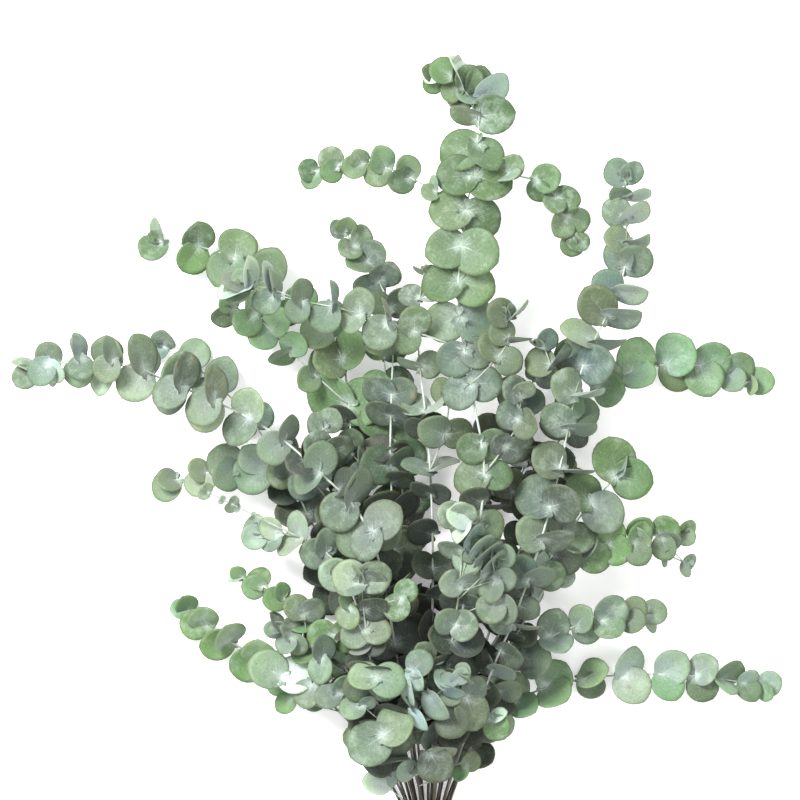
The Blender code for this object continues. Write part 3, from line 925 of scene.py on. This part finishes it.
for name, axes in AXES.items():
    others = [obstacle for other, obstacle in obstacles.items() if other != name]
    own = [Obstacle(*solid) for solid in tubes[name]]
    own += [Obstacle(*leaf.solid()) for leaf in leaves[name]]
    inner = []
    for number, seat in enumerate(inner_seats(axes[0][1])):
        draw = random.Random(f"{name} inner {number}")
        row = draw.choice(INNER_HABIT)
        inner += pair_of_leaves(draw, seat, row, draw.uniform(*INNER_BREADTH), own, others)
    inner = [leaf for leaf in inner if abs(leaf.normal.z) > INNER_OPENNESS]
    for leaf in inner:
        leaf.spray, leaf.inner = name, True
    leaves[name] += inner
    blades = [leaf.solid() for leaf in leaves[name]]
    obstacles[name] = Obstacle(*joined(tubes[name] + blades))

# The youngest leaves at each tip, still half folded round the bud, as millimetres past the
# tip, share of the last pair's breadth, lean and roll. Then the leaflets of the bare twig.
BUD_LEAVES = ((2.0, 0.5, 30, 48), (5.0, 0.34, 20, 64), (7.0, 0.2, 12, 78))
BUD_SPREAD, BUD_LIFT, BUD_SIZES = (5, 12, 8), 6, (0.85, 1.1)
TWIG, TWIG_PITCH = "stem_left_inner shoot 0", 13.0
TWIG_LEAF = (6.0, 48, 40)

for name, axes in AXES.items():
    for axis_name, route, nodes, _, _ in axes:
        draw = random.Random(f"{axis_name} bud")
        tip, along, right, upper = axis_frame(route, len(route) - 1)
        sprouts = [
            (tip + ahead * along, share * nodes[-1][2], angle, roll)
            for ahead, share, angle, roll in BUD_LEAVES
        ]
        if axis_name == TWIG:
            steps = int((route[-1] - route[1]).length / TWIG_PITCH)
            sprouts += [
                (route[1].lerp(route[-1], step / steps), *TWIG_LEAF) for step in range(steps)
            ]
        lean, turn, rise = BUD_SPREAD
        for place, breadth, angle, roll in sprouts:
            for side in (-1, 1):
                seat = (place, along, right, upper)
                leaf = spread_leaf(
                    seat, side, angle + draw.gauss(0, lean), side * roll + draw.gauss(0, turn),
                    draw.gauss(BUD_LIFT, rise), breadth * draw.uniform(*BUD_SIZES),
                )
                leaf.spray = axis_name
                leaves[name].append(leaf)

# The fine leaf, in shares of its breadth, as rays from the root and rings out to the margin.
# Its margin is a circle round a point past the root, cut in behind the root between two lobes.
RAYS = 34
RINGS = (0.14, 0.34, 0.6, 0.84, 1.0)
LAST_RAY = 168.0
LOBE_FROM = 118.0
DISC_RADIUS = 0.55
DISC_MIDDLE = 0.39
LOBE_SWELL, LOBE_CUT = 0.5, 0.9
TIP_POINT = 0.015
LEAF_HALF_THICKNESS = 0.2
THIN_MARGIN = 0.45
FLOOR_GAP = 0.2
LEAF_WIDTHS, LEAF_LENGTHS = (0.97, 1.06), (0.96, 1.05)
FOLDS, DROOPS = (0.4, 1.5), (0.2, 2.0)
MIDRIB_ROUNDING, MIDRIB_DEPTH = 0.0012, 0.034
WAVES, WAVE_HEIGHT = (2, 3, 5), 0.028
LEAF_TWIST, LEAF_TILT, LEAF_NOD = 0.1, 0.09, 0.07
LOBE_CURL = 0.05
MAP_ROOT_X, MAP_ROOT_Y = 0.6, 0.25

ray_angles = np.radians(np.linspace(-LAST_RAY, LAST_RAY, RAYS + 1))
lobe_end = np.clip((np.degrees(np.abs(ray_angles)) - LOBE_FROM) / (LAST_RAY - LOBE_FROM), 0, 1)
reach = np.sqrt(DISC_RADIUS**2 - (DISC_MIDDLE * np.sin(ray_angles)) ** 2)
reach = (reach + DISC_MIDDLE * np.cos(ray_angles)) * (1 + LOBE_SWELL * np.sin(np.pi * lobe_end))
reach = reach * (1 - LOBE_CUT * lobe_end**4)
reach[RAYS // 2] += TIP_POINT
ring_share = np.concatenate([[0.0], np.repeat(RINGS, RAYS + 1)])
ray_of_point = np.concatenate([[0.0], np.tile(ray_angles, len(RINGS))])
leaf_x = np.concatenate([[0.0], np.outer(RINGS, reach * np.sin(ray_angles)).ravel()])
leaf_y = np.concatenate([[0.0], np.outer(RINGS, reach * np.cos(ray_angles)).ravel()])
points_a_side = len(leaf_x)

leaf_faces = []
for ray in range(RAYS):
    leaf_faces.append((0, 2 + ray, 1 + ray))
    for ring in range(len(RINGS) - 1):
        low = 1 + ring * (RAYS + 1) + ray
        high = low + RAYS + 1
        leaf_faces.append((low, low + 1, high + 1, high))
upper_count = len(leaf_faces)
leaf_faces += [tuple(corner + points_a_side for corner in reversed(face)) for face in leaf_faces]
margin = [0] + [1 + ring * (RAYS + 1) for ring in range(len(RINGS))]
margin += [points_a_side - RAYS - 1 + ray for ray in range(1, RAYS)]
margin += [1 + ring * (RAYS + 1) + RAYS for ring in reversed(range(len(RINGS)))]
for first, second in zip(margin, margin[1:] + margin[:1]):
    leaf_faces.append((first, second, second + points_a_side, first + points_a_side))
smooth_faces = [number < 2 * upper_count for number in range(len(leaf_faces))]
leaf_uvs = np.column_stack([np.tile(leaf_x, 2) + MAP_ROOT_X, np.tile(leaf_y, 2) + MAP_ROOT_Y])


def leaf_points(leaf, draw):
    """Points of the upper and then the under side of one fine leaf, in millimetres."""
    size = leaf.breadth
    wide, long = draw.uniform(*LEAF_WIDTHS), draw.uniform(*LEAF_LENGTHS)
    x, y = leaf_x * wide, leaf_y * long
    fold = draw.uniform(*FOLDS) * BLADE_FOLD
    droop = draw.uniform(*DROOPS) * BLADE_DROOP
    height = fold * (np.sqrt(x**2 + MIDRIB_ROUNDING) - MIDRIB_DEPTH) - droop * y * abs(y)
    for waves in WAVES:
        phase = draw.uniform(0, 2 * math.pi)
        swing = draw.gauss(0, WAVE_HEIGHT / waves**0.5) * ring_share**2
        height = height + swing * np.sin(waves * ray_of_point + phase)
    height = height + draw.gauss(0, LEAF_TWIST) * x * y
    height = height + LOBE_CURL * np.clip(-y * 5, 0, 1) * ring_share
    height = height + draw.gauss(0, LEAF_TILT) * x + draw.gauss(0, LEAF_NOD) * y
    flat = np.outer(y * size, leaf.along) + np.outer(x * size, leaf.across)
    middle = np.array(leaf.root) + flat + np.outer(height * size, leaf.normal)
    thickness = LEAF_HALF_THICKNESS * np.outer(1 - THIN_MARGIN * ring_share**4, leaf.normal)
    points = np.concatenate([middle + thickness, middle - thickness])
    points[:, 2] = np.maximum(points[:, 2], FLOOR_GAP)
    return points


# How the sprays differ: sage, grey and blue greens, brighter and darker ones, a grey green that
# is painted shade for leaves in the shadow of others, the livid grey of leaves that lay folded
# under others, and a white that is painted light, for a few leaves lit from behind
SAGE, GREY_GREEN, BLUE_GREEN = (82, 101, 73), (95, 110, 94), (80, 98, 90)
SPRING, OLIVE, DARK_GREEN, PALE = (83, 112, 68), (76, 86, 62), (42, 66, 37), (126, 141, 130)
SHADED, LIVID, PAINTED_BACKLIGHT = (68, 81, 72), (88, 95, 90), (178, 192, 187)
MOSS, SILVER, MINT = (66, 90, 54), (140, 156, 155), (100, 128, 96)
SPRAY_COLOURS = {
    "stem_crown": (MOSS, SAGE, MOSS),
    "stem_crown shoot 0": (MOSS, SAGE),
    "stem_crown shoot 1": (MOSS, SAGE, MOSS),
    "stem_crown shoot 2": (GREY_GREEN, GREY_GREEN, SAGE),
    "stem_crown shoot 3": (OLIVE, GREY_GREEN),
    "stem_crown shoot 4": (OLIVE, SHADED),
    "stem_crown shoot 5": (PALE,),
    "stem_right_tall": (BLUE_GREEN, SHADED, GREY_GREEN),
    "stem_right_tall shoot 0": (SHADED, OLIVE),
    "stem_far_left": (GREY_GREEN, PALE, GREY_GREEN),
    "stem_far_left shoot 0": (GREY_GREEN,),
    "stem_left_inner": (GREY_GREEN, PALE),
    "stem_low_front": (PALE, GREY_GREEN),
    "stem_short_front": (GREY_GREEN, PALE, SHADED),
    "stem_middle_front": (PALE, GREY_GREEN),
    "stem_left_low": (GREY_GREEN, PALE),
    "stem_upper_inner": (SHADED, SAGE, BLUE_GREEN),
    "stem_thin_inner": (OLIVE, SHADED, GREY_GREEN),
    "stem_right_pair": (SPRING, SAGE, PALE),
    "stem_right": (SPRING, PALE, GREY_GREEN),
    "stem_right_low": (GREY_GREEN, SAGE),
    "stem_small_left": (MINT, PALE, SPRING),
    "stem_low_left": (MINT, SPRING),
    "stem_left_back": (GREY_GREEN, BLUE_GREEN),
    "stem_upper_left": (SAGE, MINT, MOSS, SPRING),
    "stem_back_green": (DARK_GREEN, SPRING),
    "stem_back_centre": (SHADED, OLIVE),
    "stem_far_right": (SAGE, MINT, GREY_GREEN),
    "stem_low_right": (MINT, PALE, SAGE),
}
# The colours of the older leaves under the others, then painted shade as shares of the colour: for
# the older leaves, which lie in shadow, and for the other leaves in the heart of the bunch that
# have no colour of their own
INNER_COLOURS = (SHADED, OLIVE, DARK_GREEN, LIVID, SHADED, GREY_GREEN)
INNER_PAINTED_SHADE = 0.4
HEART_PAINTED_SHADE = 0.71

# Single leaves that stand out, as (x, y) of the blade's middle and its colour. The white ones are
# painted light, as if lit from behind, and the shaded ones painted shade
ODD_LEAVES = (
    ((-128, -265), PAINTED_BACKLIGHT), ((-106, -280), PAINTED_BACKLIGHT), ((-165, -251), SPRING), ((-132, -188), SPRING),
    ((-122, -300), SPRING), ((-96, 132), PALE), ((-14, -53), DARK_GREEN), ((-6, 19), DARK_GREEN),
    ((20, -70), DARK_GREEN), ((-208, 22), GREY_GREEN), ((189, 90), OLIVE), ((232, 94), SILVER),
    ((240, 212), SILVER), ((244, 194), SILVER), ((244, 166), SILVER), ((238, 117), SILVER),
    ((108, 77), OLIVE), ((141, 30), OLIVE), ((55, 332), PALE), ((-109, 120), OLIVE),
    ((45, 80), GREY_GREEN), ((78, 80), GREY_GREEN), ((52, 46), SHADED), ((84, 46), SHADED),
    ((55, 16), SHADED), ((88, 14), SHADED),
)
ODD_HEIGHT, ODD_OPENNESS = 0.1, 12

# Painted sheen: leaves seen on edge are painted paler, for the sheen of their bloom at a grazing
# angle, where the bloom lies between the eye and the green
PAINTED_EDGE_SHEEN, EDGE_POWER, EDGE_TONE = 0.75, 1.5, (138, 147, 141)

leaf_finish, leaf_surface, wire = new_finish("waxy leaf")
tone = wire.node("Attribute", {"attribute_name": "tone"}, {}, 1)
trait = wire.node("Attribute", {"attribute_name": "trait"}, {}, 1)
form = wire.node("Attribute", {"attribute_name": "form"}, {}, 1)
trait = wire.node("SeparateXYZ", {}, {0: trait})
wax, wear, seed = trait, trait.output("Y"), trait.output("Z")
form = wire.node("SeparateXYZ", {}, {0: form})
to_margin, upper_side = form, form.output("Y")
spot = wire.node("SeparateXYZ", {}, {0: wire.node("UVMap", {"uv_map": "leaf"}, {})})
across, along = spot - MAP_ROOT_X, spot.output("Y") - MAP_ROOT_Y
grain_place = wire.node("CombineXYZ", {}, {0: across, 1: along, 2: seed * 7.0})
clouds = grain_place.noise(3.2, 3.0)
grain = grain_place.noise(18.0, 5.0, 0.65)
dots = grain_place.noise(62.0, 1.0)
half = abs(across)
from_root = wire.math("SQRT", across * across + along * along)
midrib = half.fade(0.018, 0.004) * from_root.fade(0.9, 0.15)
turn = wire.math("ARCTAN2", across, along) * 1.6
rays = abs(wire.math("FRACT", turn + 0.5) - 0.5) * from_root
fan = rays.fade(0.02, 0.004) * from_root.fade(0.45, 0.1)
slant = (along - 0.7 * half + 0.05 * (clouds - 0.5)) * 7.2 + seed * 3.0
side_veins = abs(wire.math("FRACT", slant) - 0.5).fade(0.12, 0.02) * half.fade(0.0, 0.03)
side_veins = side_veins * to_margin.fade(0.98, 0.7)
cells = wire.node(
    "TexVoronoi", {"feature": "DISTANCE_TO_EDGE"}, {"Vector": grain_place, "Scale": 17.0}
)
net = cells.fade(0.07, 0.01)
bloom = wax * (0.1 + 0.5 * clouds.fade(0.38, 0.7)) + (0.25 + 0.45 * wax) * from_root.fade(0.34, 0.0)
bloom = bloom + 0.25 * midrib + 0.16 * fan + 0.12 * side_veins + 0.25 * grain.fade(0.55, 0.7)
green_share = (from_root + (clouds - 0.5) * 1.1).fade(0.15, 0.85)
multiply = {"data_type": "RGBA", "blend_type": "MULTIPLY"}
greener = wire.node("Mix", multiply, {0: 1.0, 6: tone, 7: (0.86, 0.97, 0.7, 1.0)}, 2)
blade_colour = green_share.mix(tone, greener)
blade_colour = (grain.fade(0.5, 0.3) * 0.4).mix(blade_colour, linear(44, 60, 40))
blade_colour = bloom.fade(0.0, 1.35).mix(blade_colour, linear(176, 189, 182))
blade_colour = ((1.0 - upper_side) * 0.4).mix(blade_colour, linear(142, 152, 144))
blade_colour = (net * 0.08).mix(blade_colour, linear(160, 176, 156))
blade_colour = (dots.fade(0.62, 0.7) * 0.55).mix(blade_colour, linear(40, 52, 36))
rust = (grain_place.noise(3.0, 5.0, 0.7) + wear * 0.2).fade(0.76, 0.88)
blade_colour = (rust * 0.6).mix(blade_colour, linear(112, 92, 62))
blade_colour = (to_margin.fade(0.94, 0.995) * 0.5).mix(blade_colour, linear(84, 82, 58))
join_wire(blade_colour, leaf_surface["Base Color"])
join_wire(0.52 + 0.28 * bloom.fade(0.0, 1.0) + 0.08 * grain, leaf_surface["Roughness"])
relief = 0.9 * midrib + 0.5 * side_veins + 0.25 * net + 0.35 * grain - 0.3 * dots.fade(0.6, 0.75)
leaf_relief = wire.node("Bump", {}, {"Strength": 0.5, "Distance": 0.0003, "Height": relief})
join_wire(leaf_relief, leaf_surface["Normal"])
leaf_surface["Specular IOR Level"].default_value = 0.35
leaf_surface["Sheen Weight"].default_value = 0.08
leaf_surface["Sheen Roughness"].default_value = 0.5
leaf_surface["Sheen Tint"].default_value = linear(226, 236, 230)

for (x, y), colour in ODD_LEAVES:
    every = [leaf for group in leaves.values() for leaf in group if not leaf.inner]
    spot = Vector((x, y))
    odd_leaf = min(every, key=lambda leaf: (
        (leaf.middle().xy - spot).length - ODD_HEIGHT * leaf.root.z
        - ODD_OPENNESS * abs(leaf.normal.z)
    ))
    odd_leaf.colour = colour

TONE_SPREAD, WARMTH_SPREAD, BLUE_LOSS = 0.14, 0.04, 1.4
WAX_RANGE, INNER_WAX = (0.25, 0.8), 0.5


def leaf_piece(name, node, group):
    """One piece of foliage from a group of leaves, each with its own bends, tone and bloom, with
    painted shade in the heart of the bunch and painted sheen where it stands on edge.
    """
    points, faces, tones, traits, forms = [], [], [], [], []
    for number, leaf in enumerate(group):
        draw = random.Random(f"{name} leaf {number}")
        offset = number * 2 * points_a_side
        points.append(leaf_points(leaf, draw))
        faces += [tuple(corner + offset for corner in face) for face in leaf_faces]
        spray_colours = SPRAY_COLOURS.get(leaf.spray, SPRAY_COLOURS[node])
        colours = INNER_COLOURS if leaf.inner else spray_colours
        colour = np.array(linear(*(leaf.colour or draw.choice(colours)))[:3])
        # Painted shade darkens the older leaves under the others and the other leaves in the heart
        # of the bunch; the rest is a random difference in tone
        shade = (INNER_PAINTED_SHADE if leaf.inner else 1.0) * draw.lognormvariate(0, TONE_SPREAD)
        shade *= HEART_PAINTED_SHADE if in_heart(leaf.middle()) and not leaf.colour else 1.0
        # Painted sheen: the more a leaf stands on edge, the more its colour is mixed towards a pale
        # grey
        edge_sheen = PAINTED_EDGE_SHEEN * (1 - abs(leaf.normal.z)) ** EDGE_POWER
        warm = draw.gauss(0, WARMTH_SPREAD)
        colour = (1 - edge_sheen) * colour + edge_sheen * np.array(linear(*EDGE_TONE)[:3])
        colour = colour * shade * np.array([1 + warm, 1.0, 1 - BLUE_LOSS * warm])
        tones += [colour] * (2 * points_a_side)
        wax = draw.uniform(*WAX_RANGE) * (INNER_WAX if leaf.inner else 1.0)
        traits += [(wax, draw.random() ** 2, draw.random())] * (2 * points_a_side)
        forms += [(share, 1.0, 0.0) for share in ring_share]
        forms += [(share, 0.0, 0.0) for share in ring_share]
    foliage = new_piece(name, np.concatenate(points), faces, (leaf_finish,))
    foliage.data.polygons.foreach_set("use_smooth", smooth_faces * len(group))
    paint_points(foliage.data, "tone", tones)
    paint_points(foliage.data, "trait", traits)
    paint_points(foliage.data, "form", forms)
    lay_map(foliage.data, "leaf", np.tile(leaf_uvs, (len(group), 1)))
    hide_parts(node)


for name in STEMS:
    leaf_piece(name.replace("stem", "leaves"), name, leaves[name])


# Short sprigs whose leaves lie over the others and close the gaps between them. Each is a thin
# green twig that leaves its stem a little nearer the base, with small waxy leaves set without
# stalks at its joints, some open and some seen on edge.
MILKY, ASHEN, FROSTED = (96, 114, 94), (88, 102, 92), (112, 129, 128)
DUSKY, SLATE, SPOTTED, CLOUDED = (60, 68, 58), (78, 88, 82), (76, 100, 62), (122, 142, 120)
SPRIG_REACH, SPRIG_BEHIND, BEHIND_WEIGHT = 34.0, 10, 3
SPRIG_START, SPRIG_END = 0.7, 0.45
SPRIG_BEND, SPRIG_ARCH = 0.55, Vector((0, 0, 3))
SPRIG_AGE = 0.2

# Each sprig: its joints from low to high as (x, y, z) and the leaves there, each as heading in
# degrees clockwise from the crown's direction, roll, lift, breadth and colour
# Among these, the white leaves are painted light, as if lit from behind, and the shaded ones
# painted shade
SPRIGS = {
    "stem_right": (
        (((234, -143, 52), ((152, 14, 6, 27, MILKY), (34, 26, 8, 25, SPOTTED))),),
        (((262, -138, 48), ((162, 24, 6, 24, MILKY), (100, 40, 8, 22, ASHEN))),),
    ),
    "stem_far_left": (
        (((-350, 37, 62), ((-138, 12, 4, 27, ASHEN), (150, 34, 6, 24, SILVER))),),
        (((-286, 40, 84), ((-6, 58, 8, 26, OLIVE), (-150, 14, 4, 27, ASHEN))),),
        (((-319, 42, 76), ((-8, 60, 8, 26, SLATE), (170, 16, 4, 25, MILKY))),),
        (((-254, 30, 90), ((-12, 44, 8, 40, OLIVE),)),),
        (((-217, 14, 96), ((6, 54, 8, 36, OLIVE), (-118, 20, 6, 33, ASHEN))),),
        (((-184, 0, 98), ((8, 50, 8, 36, OLIVE), (-124, 24, 6, 33, ASHEN))),),
    ),
    "stem_crown": (
        (((64, 309, 84), ((-14, 66, 4, 38, PAINTED_BACKLIGHT), (24, 16, 2, 27, MOSS))),),
        (((80, 304, 82), ((58, 48, 6, 34, SILVER), (-80, 30, 4, 26, ASHEN))),),
        (((51, 322, 82), ((-54, 14, 4, 26, MOSS),)), ((38, 322, 80), ((-110, 44, 4, 15, PAINTED_BACKLIGHT),))),
        (((-129, 111, 104), ((-6, 66, 8, 30, SILVER),)), ((-150, 113, 104), (
            (2, 66, 8, 33, PAINTED_BACKLIGHT), (-74, 52, 10, 32, LIVID), (-104, 58, 6, 34, SILVER),
        ))),
    ),
    "stem_small_left": (
        (((-62, -292, 66), ((-112, 20, 8, 25, ASHEN), (44, 24, 8, 24, MILKY))),),
        (((-78, -258, 62), ((-172, 22, 8, 26, MILKY), (10, 30, 8, 26, ASHEN))),),
        (((-96, -214, 54), ((-50, 16, 6, 25, MILKY), (66, 34, 10, 25, ASHEN))),),
        (((-108, -238, 52), (
            (0, 30, 8, 22, ASHEN), (-140, 36, 8, 21, ASHEN), (140, 30, 8, 21, MILKY),
        )),),
        (((-120, -228, 50), ((-30, 50, 8, 20, SLATE), (-110, 40, 6, 15, ASHEN))),),
        (((-88, -284, 50), ((-160, 28, 8, 28, ASHEN),)),),
        (((-66, -234, 52), ((-100, 12, 4, 30, SPRING), (96, 16, 4, 32, SPRING))),),
    ),
    "stem_low_left": (
        (((-119, -276, 44), ((-64, 12, 6, 38, CLOUDED), (86, -12, 8, 36, PAINTED_BACKLIGHT))),),
        (((-108, -300, 30), ((-124, 20, 6, 20, SPRING),)),),
    ),
    "stem_low_front": (
        (((-16, -333, 86), ((-122, 10, 8, 42, MILKY), (56, -30, 14, 39, MILKY))),),
        (((-24, -275, 106), ((-84, 30, 4, 29, MILKY), (104, -14, 8, 33, MILKY))),),
        (((-13, -386, 50), ((-78, 26, 8, 26, PAINTED_BACKLIGHT),)),),
        (((-38, -180, 116), ((-100, 34, 6, 30, ASHEN), (96, 20, 8, 27, SLATE))),),
        (((-51, -206, 110), ((178, 24, 10, 22, MILKY), (-30, 50, 8, 17, SPRING))),),
        (((1, -196, 116), ((34, 12, 6, 23, SPOTTED), (-154, 16, 6, 26, SPOTTED))),),
        (((-26, -129, 118), ((46, -18, 8, 37, SLATE), (-150, 24, 6, 34, SLATE))),),
        (((-38, -303, 88), ((-110, 30, 8, 25, MILKY), (60, 40, 10, 17, ASHEN))),),
    ),
    "stem_short_front": (
        (((12, -268, 112), ((160, 44, 8, 22, FROSTED), (46, -24, 8, 27, ASHEN))),),
        (((9, -281, 106), ((172, 70, -6, 26, SILVER),)),),
        (((14, -308, 98), ((150, 62, -4, 24, SILVER), (-30, 62, 8, 17, SLATE))),),
        (((29, -292, 104), ((150, 48, 6, 30, FROSTED),)),),
        (((45, -285, 104), ((-24, 50, 8, 21, SILVER), (118, 54, 6, 21, FROSTED))),),
        (((54, -279, 104), ((38, 36, 10, 19, SILVER), (-84, 34, 10, 18, FROSTED))),),
        (((46, -308, 88), ((152, 22, 8, 31, DUSKY),)),),
        (((66, -296, 84), ((158, -16, 6, 36, OLIVE), (40, 30, 12, 26, SHADED))),),
        (((30, -352, 66), ((152, 18, 8, 34, DUSKY), (84, 56, 8, 28, OLIVE))),),
        (((92, -318, 62), ((150, 14, 6, 26, SPRING), (60, -46, 10, 18, PAINTED_BACKLIGHT))),),
        (((66, -368, 50), ((34, 22, 8, 20, OLIVE), (-140, 40, 6, 17, SPRING))),),
    ),
    "stem_middle_front": (
        (((68, -122, 118), ((-50, 24, 8, 27, SILVER), (-142, 56, 4, 24, PAINTED_BACKLIGHT))),),
        (
            ((82, -174, 114), ((42, 58, 0, 35, ASHEN),)),
            ((78, -162, 115), ((44, 58, 0, 33, FROSTED),)),
            ((72, -153, 116), ((44, 58, 0, 31, FROSTED),)),
            ((66, -145, 117), ((38, 60, 0, 29, FROSTED),)),
        ),
        (((70, -146, 106), ((-172, 24, 6, 32, FROSTED),)),),
        (((94, -178, 110), ((86, 18, 8, 23, SLATE), (-160, 26, 6, 25, ASHEN))),),
        (((96, -198, 108), ((-150, 14, 8, 28, ASHEN), (140, 30, 8, 30, SLATE))),),
    ),
}
ALONG_RIGHT_UP = Vector((0, 1, 0)), Vector((1, 0, 0)), Vector((0, 0, 1))

for name, sprigs in SPRIGS.items():
    rods, sprig_leaves = [], []
    for number, joints in enumerate(sprigs):
        places = [Vector(place) for place, _ in joints]
        stem_points = [point for axis in AXES[name] for point in smooth_line(axis[1])[0]]
        lowest = places[0]
        foot = min(stem_points, key=lambda point: abs((point - lowest).length - SPRIG_REACH) + (
            BEHIND_WEIGHT * max(0, point.y - lowest.y + SPRIG_BEHIND)
        ))
        bend = foot.lerp(lowest, SPRIG_BEND) + SPRIG_ARCH
        route = [foot, foot.lerp(bend, 0.5), bend, bend.lerp(lowest, 0.5), *places]
        twig = rod(route, [], SPRIG_START, SPRIG_END, f"{name} sprig {number}")
        rods.append((twig[0], twig[1], [SPRIG_AGE] * len(twig[2]), twig[3]))
        for place, (_, rows) in zip(places, joints):
            for heading, roll, lift, breadth, colour in rows:
                leaf = spread_leaf((place, *ALONG_RIGHT_UP), 1, heading, roll, lift, breadth)
                leaf.spray, leaf.colour = name, colour
                sprig_leaves.append(leaf)
    wood_piece(name.replace("stem", "sprig_wood"), name, rods)
    leaf_piece(name.replace("stem", "sprig_leaves"), name, sprig_leaves)
